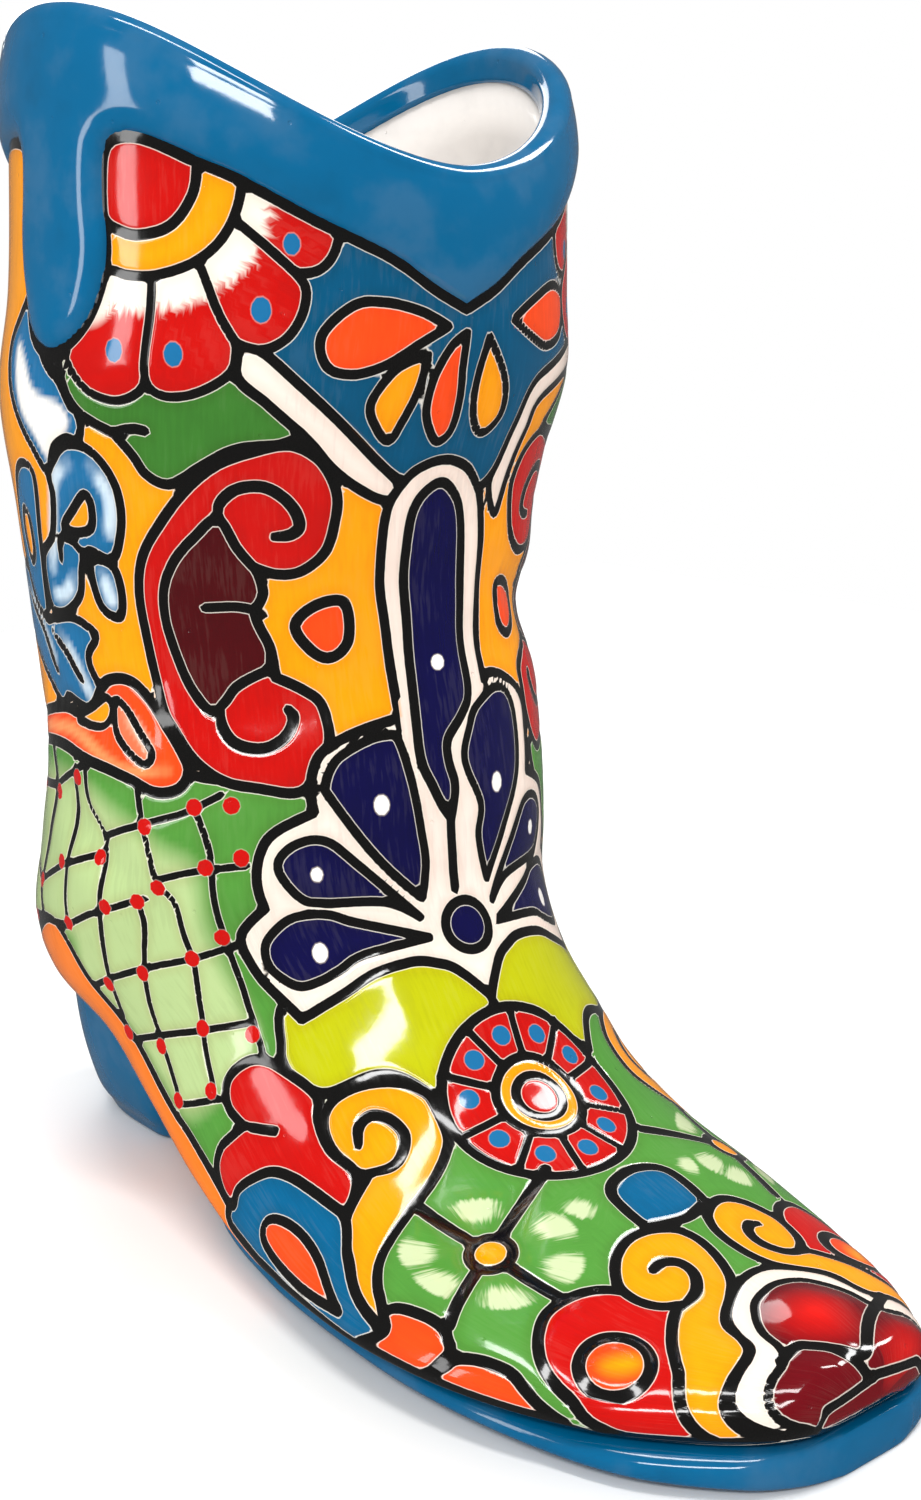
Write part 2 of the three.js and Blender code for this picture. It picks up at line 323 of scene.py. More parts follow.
class Painting:
    """What the painter has put on each corner of a skin."""

    def __init__(self, chart, places):
        self.chart, self.places = chart, places
        count = len(chart)
        self.colour = np.tile(YELLOW, (count, 1))
        self.line = np.full(count, 9.0)
        self.dot = np.full(count, 9.0)
        self.dot_colour = np.tile(RED, (count, 1))
        self.wash, self.daub = np.zeros(count), np.zeros(count)
        self.brush = np.stack([chart[:, 0] * 1.2, chart[:, 1]], -1)

    def near(self, outline, margin=9):
        """Corners near an outline, and their chart points turned to lie beside it."""
        low, high = outline.min(0) - (margin, margin), outline.max(0) + (margin, margin)
        middle = (low[0] + high[0]) / 2
        turn = (self.chart[:, 0] - middle + 180) % 360 - 180 + middle
        pick = (turn > low[0]) & (turn < high[0])
        pick &= (self.chart[:, 1] > low[1]) & (self.chart[:, 1] < high[1])
        found = np.nonzero(pick)[0]
        return found, np.stack([turn[found], self.chart[found, 1]], -1)

    def fill(self, colour, points, pen=1.25, mirror=None):
        """Lays one glazed shape with a black outline of half width pen."""
        outline = curve(points)
        found, chart = self.near(outline)
        edge = on_boot(outline)
        far, _ = reach(self.places[found], np.vstack([edge, edge[:1]]))
        within = inside(outline, chart)
        over = found[within]
        beyond = np.minimum(self.line[found], far - pen)
        self.line[found] = np.where(within, far - pen, beyond)
        self.colour[over] = colour
        self.dot[over], self.wash[over], self.daub[over] = 9.0, 0.0, 0.0
        self.brush[over] = np.stack([chart[within, 0] * 1.2, chart[within, 1]], -1)
        if mirror is not None:
            self.fill(colour, mirrored(points, mirror), pen)

    def disc(self, colour, middle, radius, pen=1.25):
        """Lays a round spot with a black outline, measured on the clay itself."""
        found, _ = self.near(np.array([middle], float), radius + 12)
        gap = np.linalg.norm(self.places[found] - on_boot(np.array([middle], float)), axis=1)
        within = gap < radius
        line = np.abs(gap - radius) - pen
        self.line[found] = np.where(within, line, np.minimum(self.line[found], line))
        self.colour[found[within]] = colour
        self.dot[found[within]], self.daub[found[within]] = 9.0, 0.0

    def tint(self, colour, points, soft, mirror=None):
        """Washes a colour over a region, with a soft edge that many mm wide."""
        outline = curve(points)
        found, chart = self.near(outline)
        far, _ = reach(self.places[found], on_boot(np.vstack([outline, outline[:1]])))
        share = np.clip(0.5 + np.where(inside(outline, chart), far, -far) / soft, 0, 1)[:, None]
        self.colour[found] = self.colour[found] * (1 - share) + np.array(colour) * share
        if mirror is not None:
            self.tint(colour, mirrored(points, mirror), soft)

    def streak(self, colour, points, width=2.0, mirror=None):
        """Brushes a lighter or darker glaze along a line, fading at its sides and ends."""
        line = curve(points, is_closed=False)
        found, _ = self.near(line)
        far, step = reach(self.places[found], on_boot(line))
        fade = np.clip(np.sin(np.pi * np.clip(step / len(line), 0.04, 0.96)) * 2, 0, 1)
        share = (np.clip(1.6 - far / width, 0, 1) * fade)[:, None]
        self.colour[found] = self.colour[found] * (1 - share) + np.array(colour) * share
        if mirror is not None:
            self.streak(colour, mirrored(points, mirror), width)

    def stroke(self, points, pen=1.1, mirror=None, taper=True):
        """Draws a black line, thinner at its ends."""
        line = curve(points, is_closed=False)
        found, _ = self.near(line)
        far, step = reach(self.places[found], on_boot(line))
        share = step / len(line)
        thin = 0.7 + 0.3 * np.clip(np.sin(np.pi * share) * 2.2, 0, 1) if taper else 1.0
        self.line[found] = np.minimum(self.line[found], far - pen * thin)
        if mirror is not None:
            self.stroke(mirrored(points, mirror), pen, taper=taper)

    def dots(self, colour, radius, spots, mirror=None, tall=1.0):
        """Puts round spots of glaze on top; tall stretches them down the boot."""
        for spot in spots:
            found, chart = self.near(np.array([spot[:2]], float), 7)
            size = spot[2] if len(spot) > 2 else radius
            middle = on_boot(np.array([spot[:2]], float))
            gap = np.linalg.norm(self.places[found] - middle, axis=1)
            down = np.abs(chart[:, 1] - spot[1])
            gap = np.sqrt(np.maximum(gap**2 - down**2 * (1 - 1 / tall**2), 0))
            hit = gap - size < self.dot[found]
            self.dot[found[hit]] = (gap - size)[hit]
            self.dot_colour[found[hit]] = colour
            if mirror is not None:
                self.dots(colour, size, [(2 * mirror - spot[0], spot[1])], tall=tall)

    def feather(self, points, root, length, mirror=None):
        """White combed out of a line called the root, over one shape."""
        outline, line = curve(points), curve(root, is_closed=False)
        found, chart = self.near(outline, 0)
        over = found[inside(outline, chart)]
        far, step = reach(self.places[over], on_boot(line))
        self.wash[over] = np.clip(1.5 - far / length, 0, 1)
        self.brush[over] = np.stack([step * 1.1, far], -1)
        if mirror is not None:
            self.feather(mirrored(points, mirror), mirrored(root, mirror), length)

    def daubs(self, middle, headings, near_mm=7, far_mm=21, spread=26):
        """Fans of pale dry-brush marks round a knot, one for each heading in degrees."""
        ring = circle(*middle, 10, count=4)
        turn_mm, down_mm = 10 / (ring[0][0] - middle[0]), 10 / (ring[1][1] - middle[1])
        found, chart = self.near(np.array([middle], float), 26)
        x, y = ((chart - middle) * (turn_mm, down_mm)).T
        out, bearing = np.hypot(x, y), np.degrees(np.arctan2(y, x))
        for heading in headings:
            off = (bearing - heading + 180) % 360 - 180
            share = np.clip(1.25 - np.abs(off) / spread, 0, 1)
            share *= np.clip((out - near_mm) / (0.5 * (far_mm - near_mm)), 0, 1)
            share *= np.clip((far_mm - out) / 2.5, 0, 1)
            fan = share > 0
            self.daub[found[fan]] = np.maximum(self.daub[found[fan]], share[fan])
            self.brush[found[fan]] = np.stack([np.radians(off) * 26 + heading, out], -1)[fan]


print("painter's tools ready")

# %% [markdown]
# ## The body's skin
# The outside is one fine grid from just above the collar's lower edge to the toe, where
# its last rows close on a point. The inside is a coarser grid, 6 mm further in. The two
# open ends at the top are bridged, which makes one closed clay wall.

# %% Outer and inner skins
ROUND, DOWN_ROWS, CAP_ROWS = 336, 268, 8
WALL = 6
HOLLOW_END = 18.6 / (len(SLICES) - 1)
BODY = bmesh.new()


def outer_chart(u, w):
    """Angle, mm down the front and share of the toe's cap, for each corner."""
    turn = u * 360 - 180
    start = np.interp(t_at_height(turn, collar_edge(turn) + 5), _fine_t, _fine_down)
    rows = w * (DOWN_ROWS + CAP_ROWS)
    down = start + (DOWN_END - start) * np.minimum(rows / DOWN_ROWS, 1)
    cap = np.clip((rows - DOWN_ROWS) / CAP_ROWS, 0, 1)
    return turn, down, cap


def outer_place(u, w):
    """Where a corner of the outer skin lies, with the toe's end closed like a cap."""
    turn, down, cap = outer_chart(u, w)
    ring = boot_point(t_at_down(down), turn)
    tip = boot_point(1.0, 0)[0] * 0.45 + boot_point(1.0, 180)[0] * 0.55 - (0, 1.2, 0)
    share = np.cos(cap * math.pi / 2)[:, None]
    return np.stack([tip[0] + (ring[:, 0] - tip[0]) * share[:, 0],
                     ring[:, 1] * share[:, 0] + tip[1] * (1 - share[:, 0]),
                     tip[2] + (ring[:, 2] - tip[2]) * share[:, 0]], -1)


def inner_place(u, w):
    """Where a corner of the inner skin lies; the last rows close the hollow's end."""
    turn = u * 360 - 180
    top = t_at_height(turn, rim_height(turn) - 7)
    t = top + (HOLLOW_END - top) * np.minimum(w / 0.93, 1)
    ring = boot_point(t, turn, WALL)
    middle = (boot_point(HOLLOW_END, 0, WALL) + boot_point(HOLLOW_END, 180, WALL)) / 2
    shrink = np.clip((1 - w) / 0.07, 0, 1)[:, None]
    return middle + (ring - middle) * shrink


note_turn = BODY.verts.layers.float.new("turn")
note_down = BODY.verts.layers.float.new("down")
corners, u, w = bent_grid(BODY, ROUND, DOWN_ROWS + CAP_ROWS, outer_place)
turn, down, cap = outer_chart(u, w)
for corner, a, b in zip(corners, turn, down + cap * 9):
    corner[note_turn], corner[note_down] = a, b
corners, u, w = bent_grid(BODY, 84, 36, inner_place)
for corner in corners:
    corner[note_down] = -50.0
bmesh.ops.remove_doubles(BODY, verts=BODY.verts, dist=2e-6)
bmesh.ops.bridge_loops(BODY, edges=[e for e in BODY.edges if e.is_boundary])
closed(BODY)
print("body skin:", len(BODY.faces), "faces,", sum(e.is_boundary for e in BODY.edges), "open edges")

# %% Notes of where each corner lies
BODY.verts.ensure_lookup_table()
chart = np.array([(v[note_turn], v[note_down]) for v in BODY.verts])
places = np.array([v.co[:] for v in BODY.verts]) * 1000
outer = np.nonzero(chart[:, 1] > -20)[0]
art = Painting(chart[outer], places[outer])
print(len(outer), "corners to paint")

# %% [markdown]
# ## Painting the grounds
# The shaft's ground is warm yellow. The heel and the ankle's sides have a pale green
# lattice ground, the foot is grass green, and the arch under the foot is orange.

# %% Grounds
art.fill(GRASS, [(95, 243, 0), (95, 392, 0), (-95, 392, 0), (-95, 243, 0)], pen=0.5)
LATTICE = [(180, 150, 0), (128, 151), (100, 152), (85, 158), (66, 165), (54, 171), (40, 175), (30, 177),
           (33, 190), (42, 205), (44, 222), (46, 238), (56, 250), (70, 262), (88, 272), (93, 262),
           (93, 234), (93, 215), (96, 204), (110, 200), (180, 214, 0)]
PALE = [(180, 158), (128, 159), (100, 163), (86, 168), (76, 176), (64, 186), (56, 193), (55, 210),
        (58, 238), (68, 247), (84, 254), (90, 248), (92, 215), (98, 203), (180, 212)]
art.fill(GRASS, LATTICE, mirror=0)
art.tint(MINT, PALE, 7, mirror=0)
UNDER = [(100, 200), (93, 206), (91.5, 220), (92, 236), (91, 252), (88, 264), (89, 275),
         (92, 284), (98, 292, 0)]
art.fill(INK, [(90, 282, 0), (93, 300), (93, 395, 0), (267, 395, 0), (267, 300), (270, 282, 0)],
         pen=1.0)
UNDER_BACK = [(245, 203), (220, 207), (180, 214, 0), (140, 207), (115, 203)]
art.fill(glaze(252, 128, 30), UNDER + mirrored(UNDER, 180) + UNDER_BACK)
print("grounds laid")

# %% [markdown]
# ## The lattice
# Thin black lines cross on the pale green, and a red spot sits on each crossing.

# %% Lattice lines and spots
ROWS = [
    [(102, 167), (94, 165), (85, 163)], [(79, 182), (73, 181), (65, 180), (58, 179), (50, 176)],
    [(106, 191), (94, 188), (87, 187), (79, 186)], [(64, 194), (56, 193.5), (45, 194)],
    [(91, 202), (83, 200), (76, 199), (67, 198)],
    [(91, 218), (82, 216), (69, 214.5), (60, 214), (50, 212.5)],
    [(93, 235), (82, 234), (69, 233.5), (57, 233)], [(88, 252), (80, 251.5), (73, 251)],
]
COLUMNS = [
    [(85.5, 163), (85, 173), (80.5, 181), (78.5, 189), (78.5, 198), (81, 208), (85, 218), (90, 227),
     (93, 234)],
    [(70, 169), (68.5, 179), (65.5, 189), (64, 195), (60.5, 201), (60, 209), (61, 216), (66, 227),
     (71, 238), (74, 249)],
    [(56, 178), (53, 188), (52, 197), (52, 210), (53.5, 221), (56, 231), (58, 243)],
    [(69, 198), (68.5, 204), (71, 211), (75, 219), (80, 228), (83, 236), (86.5, 250)],
    [(90, 163), (90.5, 179), (91, 189), (90.5, 202)],
]
BACK_ROWS = [[(102, 167), (118, 166), (135, 170), (158, 167), (180, 169)],
             [(106, 191), (125, 184), (145, 189), (165, 185), (180, 188)],
             [(91, 202), (112, 199), (135, 204), (158, 202), (180, 205)]]
BACK_COLUMNS = [[(104, 152), (102, 168), (106, 191), (103, 200)],
                [(120, 152), (118, 166), (125, 184), (122, 206)],
                [(138, 152), (135, 170), (145, 189), (142, 210)],
                [(160, 152), (158, 167), (165, 185), (160, 212)]]
for line in ROWS + COLUMNS:
    art.stroke(line, 0.85, mirror=0, taper=False)
for line in BACK_ROWS + BACK_COLUMNS:
    art.stroke(line, 1.15, mirror=0, taper=False)
art.stroke([(180, 150), (180, 214)], 1.15, taper=False)
CROSSINGS = [(89, 166), (67.5, 181), (56, 178), (48, 179), (94, 187), (80.5, 187), (53.5, 193),
             (46, 192), (64, 196), (77, 198.5), (69, 198.5), (90.5, 201.5), (52.5, 210), (60.5, 214),
             (74, 216), (86, 218), (93, 233), (69, 233), (84, 237), (58, 236), (75, 249), (87.5, 251),
             (100, 169), (118, 166), (135, 170), (158, 167), (106, 191), (125, 184), (145, 189),
             (165, 185), (112, 199), (135, 204)]
art.dots(RED, 2.1, CROSSINGS, mirror=0)
art.dots(RED, 2.1, [(180, 169), (180, 188)])
print(len(CROSSINGS), "spots on each side")

# %% [markdown]
# ## Front yoke
# Under the collar's V hangs a blue yoke with five drops, edged by two cream bands.

# %% Yoke, bands and drops
art.fill(YOKE, [(56, 20, 0), (46, 70), (27, 88), (12, 104), (0, 112), (-14, 108), (-22, 92),
                (-30, 79), (-48, 72), (-56, 20, 0)])
art.fill(CREAM, [(43, 72, 0), (38, 74), (27, 86), (16, 99.5), (9, 108), (12, 111), (18, 107.5),
                 (24, 101.5), (30, 93), (43, 79, 0)], pen=1.2)
art.fill(CREAM, [(-50, 70, 0), (-30, 78), (-22, 83), (-19.5, 93), (-17.5, 102), (-15, 109),
                 (-18.5, 116.5), (-22, 106), (-25, 95), (-28, 86), (-50, 77, 0)], pen=1.2)
DROPS = [
    (ORANGE, [(4, 68.5, 0), (10, 65), (17, 63), (23, 63.5), (28.5, 70), (27, 77), (22, 79), (16, 77),
              (10, 72.5)]),
    (YELLOW, [(8, 75, 0), (14, 78), (18, 86), (16, 92.5), (13, 96), (11, 91), (9, 83)]),
    (ORANGE, [(-0.4, 70, 0), (3, 73), (6, 80), (6.5, 88), (4.5, 94), (2, 97), (-0.5, 94), (-0.7, 87),
              (0, 78)]),
    (YELLOW, [(-6, 71, 0), (-4, 80), (-4.5, 88), (-7, 94), (-10, 95), (-13, 91), (-13, 86), (-11, 80)]),
    (ORANGE, [(-13, 67, 0), (-20, 62.5), (-29, 59), (-36, 62), (-34, 70), (-26, 73.5), (-19, 71)]),
]
for colour, drop in DROPS:
    art.fill(colour, drop, pen=1.1)
print(len(DROPS), "drops")

# %% [markdown]
# ## Sunflowers
# A sunflower rises beside each pull strap: a red disc, a yellow ring and red petals whose
# roots are combed out in white. Under the flower lies a green leaf.

# %% Leaf and sunflower
SIDE = -2
LEAF_SHAPE = [(80.5, 68), (79.5, 78), (75.5, 85), (67, 90, 0), (63, 95), (60, 100), (55, 102.5),
              (48, 98.5), (42, 95.5), (34, 95), (30, 93, 0), (37, 85), (43, 78), (45, 66), (60, 62)]
art.fill(LEAF, LEAF_SHAPE, mirror=SIDE)
art.stroke([(68, 90), (63, 89.3), (60, 90)], 1.2, mirror=SIDE)
RING = [(75, 60), (70.5, 56), (66, 57), (60, 57), (53, 54.5), (48, 50), (45, 44), (43.5, 36), (43, 20)]
PETALS = [
    [(80, 52, 0), (80, 60), (80.5, 68), (78.5, 74), (73, 80.5), (66, 83), (61, 81), (60, 78, 0),
     (60.5, 70), (61, 54, 0)],
    [(61, 54, 0), (60.5, 66), (60, 78), (57, 82), (52, 82.5), (47, 80.5), (43.5, 77), (43.5, 71.5, 0),
     (48, 64), (53, 50, 0)],
    [(53, 50, 0), (48, 64), (43.5, 71.5, 0), (39, 73), (35, 71), (32.5, 66), (32, 60), (34, 56.5, 0),
     (39, 51), (48, 42, 0)],
    [(48, 42, 0), (39, 51), (34, 56.5, 0), (30, 56), (27, 52), (26, 44), (28, 34), (44, 20)],
]
for petal in PETALS:
    art.fill(RED, petal, pen=1.05, mirror=SIDE)
    art.feather(petal, RING, 9, mirror=SIDE)
art.fill(YELLOW, RING + [(78, 20, 0)], pen=1.1, mirror=SIDE)
art.fill(RED, [(75, 26, 0), (72, 43), (67, 47.5), (62, 48), (57, 46), (53.5, 41), (52, 35),
               (52, 20, 0)], pen=1.2, mirror=SIDE)
art.dots(SKY, 2.2, [(67, 72.5), (54.8, 73.5), (39.8, 64.5), (34.7, 50.2, 1.8)], mirror=SIDE, tall=1.3)
print(len(PETALS), "petals beside each strap")

# %% [markdown]
# ## Red scrolls
# A big red C-scroll with a maroon heart stands on each side of the front, open towards
# the middle, with a small orange drop in its mouth.

# %% C-scrolls
SCROLL = [(32, 95.5), (39, 96.5), (46, 99), (52, 104), (58, 111), (63, 118), (65, 126), (64.5, 137),
          (62.5, 152), (59.5, 159), (55, 167), (49, 173), (42, 176), (35, 178.5), (31, 176), (28, 170),
          (27, 165), (28, 158), (31.5, 154), (37, 150, 0), (37.5, 143), (40, 135), (38, 130),
          (39, 124, 0), (35, 126), (30, 126), (25, 122), (22.8, 115), (22.5, 108), (26, 100)]
art.fill(RED, SCROLL, mirror=-1)
art.fill(MAROON, [(46, 111.5), (51, 115), (56, 120), (59, 126), (59.5, 133), (58, 141), (55.5, 149),
                  (51.5, 155.5), (48.5, 154), (45, 150.5), (38, 148, 0), (37.5, 143), (40, 135),
                  (38, 130), (39, 124.5, 0), (42.5, 119)], pen=1.2, mirror=-1)
art.stroke([(38, 135), (43, 132.5), (50.5, 131.5)], 1.1, mirror=-1)
art.stroke([(46, 112), (45.5, 108), (42, 105), (37, 105), (33, 108), (30.5, 112), (30, 115.5),
            (32, 117), (35, 117)],
           1.4, mirror=-1)
art.stroke([(49.5, 155), (49, 160), (46, 164.5), (40.5, 166.5), (36, 164.5), (34, 160.5), (35, 158)],
           1.4, mirror=-1)
art.fill(ORANGE, [(21, 135), (27, 134.5), (32, 138.5), (29, 145), (25, 147.5), (21, 144)], pen=1.3,
         mirror=-1)
print("scrolls done")

# %% [markdown]
# ## The cobalt fan
# A tall cream and cobalt stamen runs down the shin and opens into a fan of cobalt petals
# on a cream scallop. Small white dots are set into the cobalt, and two lime leaves lie
# under the scallop.

# %% Stamen and fan
FAN = 2.5
SCALLOP = [(2, 162), (12, 164.5), (20, 166), (26, 168), (30, 171), (32, 178), (31.5, 184, 0), (39, 187),
           (42, 191), (43, 198), (42.5, 205, 0), (46, 207.5), (49, 211), (49.5, 217), (49, 224),
           (46, 234, 0), (35, 229.5), (27, 226), (18, 225), (13, 226.5), (8.5, 229.5), (2.5, 238, 0)]
art.fill(LIME, [(2.5, 232, 0), (20, 222), (46, 228), (53, 240), (54, 246), (51.5, 250.5), (47, 252.7),
                (36.5, 250.5), (30.7, 252.3), (25.5, 259, 0), (19, 252.3), (16, 247), (11, 243.5),
                (2.4, 241, 0)], mirror=FAN)
FAR_SCALLOP = mirrored(SCALLOP, FAN)[1:-6] + [(-28, 176), (-28, 166), (-24, 160), (-16, 157), (-8, 160)]
art.fill(CREAM, SCALLOP + FAR_SCALLOP)
STAMEN = [(11.5, 168, 0), (12.5, 141), (13, 127), (12.5, 118), (11, 111), (7, 105), (3, 102.5)]
art.fill(CREAM, STAMEN + [(-0.5, 101.8)] + mirrored(STAMEN, -0.5))
art.fill(CREAM, [(11.5, 160, 0), (9, 200, 0), (-4, 200, 0), (-12, 160, 0)], pen=-2)
art.fill(COBALT, [(-0.5, 107.5), (3.5, 110), (6, 115), (7.2, 125), (7.2, 141), (7.8, 165), (7.8, 176),
                  (5.8, 182.5), (3.7, 188), (1.6, 191.7, 0), (0, 184), (1, 177.5), (0.5, 172),
                  (-3.8, 167), (-7, 161.7), (-7.5, 150), (-7.5, 125), (-6.5, 115), (-4, 110)], pen=1.3)
art.stroke([(1.6, 188), (2, 199), (2.4, 210)], 1.3)
FAN_PETALS = [
    [(28.7, 177), (26, 172), (20, 169), (15, 168.3), (12.5, 170), (10.3, 182.5), (8.7, 198), (9.3, 205),
     (10.8, 210, 0), (17.8, 200), (28.2, 181)],
    [(38.7, 196), (37, 192), (32.8, 190.4), (28.7, 191.7), (25, 196), (18.7, 205), (12.4, 214.6, 0),
     (18.7, 209.2), (31, 206.3), (35.3, 204)],
    [(46.2, 220), (45, 214), (41, 210), (37, 208.3), (31, 209.2), (26, 212.5), (12, 220, 0),
     (27, 220.8), (33, 223.3), (38.7, 225.4), (43.3, 225.4)],
]
art.fill(COBALT, [(-9, 165), (-16, 161), (-21, 163), (-23, 172), (-21, 184), (-14, 197), (-7, 209, 0),
                  (-5.5, 198), (-7, 190), (-4, 181), (-3.5, 176), (-6, 170)], pen=1.1)
art.fill(COBALT, FAN_PETALS[0], pen=1.1)
for petal in FAN_PETALS[1:]:
    art.fill(COBALT, petal, pen=1.1, mirror=FAN)
art.fill(CREAM, circle(1.6, 219.2, 9), pen=-1.5)
art.disc(COBALT, (1.6, 219.2), 6.4)
art.dots(WHITE, 1.8, [(17.6, 185, 1.9), (31.4, 199, 1.4), (35.3, 218.2)], mirror=FAN, tall=1.3)
art.dots(WHITE, 1.9, [(0.3, 152.5)])
print(2 * len(FAN_PETALS), "petals in the fan")

# %% [markdown]
# ## Blue acanthus
# Behind each scroll, round the side of the shaft, curls a blue and white acanthus.

# %% Acanthus leaves
WINGS = [
    (SKY, [(94, 60, 0), (99, 66), (102, 71), (100.5, 78), (96.5, 86), (92, 92), (87, 97.5), (84, 92.5),
           (79.7, 90.5), (76, 91), (75.5, 86.5), (80, 79), (84, 75.5), (87, 72), (89.7, 66)]),
    (SKY, [(87, 98), (86.5, 103), (89, 111), (94.5, 115), (95.5, 122), (94, 127), (88, 128), (82, 125),
           (80, 119), (77, 115.5), (71.5, 118), (69, 116), (67, 109), (67.5, 102), (70.5, 96),
           (75, 92.5), (80.5, 92), (84.5, 95)]),
    (SKY, [(77, 118), (71, 119.5), (69.5, 126), (71, 131), (76, 127.5)]),
    (SKY, [(120, 116), (107, 118), (100, 128), (94.5, 129), (86, 129.5), (79.5, 133), (79, 135),
           (82, 138), (81, 143), (76.5, 151), (79.5, 152), (88, 149), (94, 146), (99, 147), (106, 140),
           (120, 128)]),
    (YELLOW, [(84, 110), (80, 106), (76, 103), (74.5, 106), (76, 111)]),
]
for colour, wing in WINGS:
    art.fill(colour, wing, pen=1.2, mirror=-1)
LEAF_WHITE = [(97.5, 71), (93, 74), (88.5, 80), (81, 83), (78.5, 87), (81, 90.5), (86, 94.5),
              (90.5, 89), (95, 83)]
art.tint(WHITE, LEAF_WHITE, 1.6, mirror=-1)
for line in ([(96, 132), (90, 137), (86, 143)], [(112, 122), (102, 131), (97, 140)],
             [(87, 117), (86, 112), (82, 113), (79, 116)]):
    art.stroke(line, 1.15, mirror=-1)
for mark in ([(80, 96), (85, 99), (87.5, 107), (91, 118)], [(73, 97), (69.5, 104), (70, 112)],
             [(112, 121), (103, 129), (97, 137)], [(92, 133), (87, 139), (84, 147)],
             [(74, 121), (72.5, 127)],
             [(83, 121), (87, 124), (91, 124)]):
    art.streak(glaze(205, 226, 240), mark, 1.7, mirror=-1)
art.stroke([(85, 73.5), (81.5, 76.5), (77.5, 84)], 1.3, mirror=-1)
LOOP = [(93.5, 98), (99, 95), (105, 98), (109, 106), (108.5, 116), (104, 125), (98, 128), (96.5, 121),
        (95, 111)]
art.fill(SKY, LOOP, pen=1.1, mirror=-1)
art.fill(YELLOW, [(100, 107), (103, 104.5), (105, 109), (103, 116), (100, 114)], pen=1.0, mirror=-1)
BELT = [(180, 147, 0), (128, 148.5), (100, 148), (91, 150), (84, 149), (78, 144.5), (71, 145),
        (66, 150), (62, 156.5), (58.5, 163.5), (57, 169), (59.5, 173), (65, 173), (71, 169), (78, 165),
        (86, 161.5), (97, 157), (109, 155), (128, 154.5), (180, 155, 0)]
art.fill(ORANGE, BELT, pen=1.4, mirror=0)
art.fill(YELLOW, [(91, 151.5), (84, 149.5), (78.5, 148), (77.5, 152), (81, 154.5)], pen=1.0, mirror=0)
art.fill(glaze(255, 120, 80), [(76, 149), (72.5, 151.5), (69, 157), (65.5, 163), (67.5, 165.5),
                               (72, 161.5), (76, 155.5)], pen=1.0, mirror=0)
art.streak(glaze(255, 190, 160), [(73, 152), (69, 157), (66, 162)], 1.4, mirror=0)
art.streak(glaze(255, 150, 90), [(128, 151.5), (100, 152.5), (88, 156), (74, 165.5), (62, 168)], 1.4,
           mirror=0)
print(len(WINGS), "leaves on each side")

# %% [markdown]
# ## The back of the shaft
# The collar dips at the back as it does at the front, so the back repeats the yoke. A red
# flower with blue spots sits under its point between two lime leaves.

# %% A flower, for the back and for the foot


def flower(middle, radius, petals, lean=0.0):
    """Round flower: a ring of red petals with blue spots, a yellow ring and a red eye."""
    art.disc(RED, middle, radius)
    outer_ring = circle(*middle, radius, count=72)
    inner_ring = circle(*middle, radius * 0.45, count=72)
    spot_ring = circle(*middle, radius * 0.73, count=72)
    for k in range(petals):
        place = int(72 * k / petals + lean) % 72
        art.stroke([inner_ring[place], outer_ring[place]], 0.95, taper=False)
        art.dots(SKY, radius * 0.1, [spot_ring[int(place + 36 / petals) % 72]])
    for share, colour in ((0.46, YELLOW), (0.25, RED)):
        art.disc(colour, middle, radius * share, pen=1.2)


BACK_YOKE = [(132, 20, 0), (140, 64), (155, 86), (170, 100), (180, 105)]
art.fill(TRIM, BACK_YOKE + mirrored(BACK_YOKE, 180)[1:])
BACK_LEAF = [(160, 122), (150, 112), (140, 108), (131, 116), (128, 128), (136, 138), (150, 141),
             (160, 136)]
art.fill(LIME, BACK_LEAF, mirror=180)
art.fill(CREAM, [(133, 20, 0), (140.5, 64), (155.5, 86.5), (170, 100.5), (180, 105.5, 0), (180, 113, 0),
                 (165, 108), (148, 94), (132, 69), (124, 20, 0)], pen=1.2, mirror=180)
art.fill(ORANGE, [(121, 103), (125, 98, 0), (130, 103), (130.5, 110), (125.5, 114), (120.5, 110)],
         pen=1.2, mirror=180)
for colour, drop in DROPS[:2]:
    art.fill(colour, moved(drop, 180, -1), pen=1.35, mirror=180)
flower((180, 124), 19, 9)
art.stroke([(157, 125), (146, 122), (137, 126)], 1.5, mirror=180)
print("back painted")

# %% [markdown]
# ## The foot
# A round flower sits on the instep, and orange S-scrolls run down both sides. Pale brush
# strokes fill the green between them.

# %% Brush strokes on the green
LEFT_KNOT, RIGHT_KNOT = (37.3, 303), (-45, 300)
art.daubs(LEFT_KNOT, (-110, -30, 10, 63, 128, 182))
art.daubs(RIGHT_KNOT, (-62, 10, 45, 115, 180, 225))
art.daubs((-2, 290), (150, 30), near_mm=14, far_mm=25, spread=14)
print("pale strokes on the green round", LEFT_KNOT, "and", RIGHT_KNOT)

# %% S-scrolls and flower
S_HIGH = [(26.5, 259.5), (28.2, 256), (32.3, 253.2), (39, 252.3), (45.7, 254), (50.2, 257.7),
          (52, 263.2), (51, 269.5), (48, 273.6, 0), (57.3, 281.4), (61.5, 286), (65.3, 293), (72, 302),
          (80, 316, 0), (68.7, 306), (64, 300.5), (57.3, 294), (43, 284), (36.5, 279.5), (30.7, 274),
          (27.3, 268.6)]
art.fill(YELLOW, S_HIGH, mirror=-3)
art.stroke([(49, 272.5), (42.3, 272.7), (38.2, 270), (35.7, 265.5), (36.9, 261.4), (40.3, 259.5),
            (44, 261.4), (46, 265.5)], 1.4, mirror=-3)
flower((2.75, 266), 24.5, 10, lean=2)
print("instep done")

# %% [markdown]
# Beside the S-scroll grows a red trefoil over a blue arch with an orange drop, and two
# orange-red leaves lie along the sole.

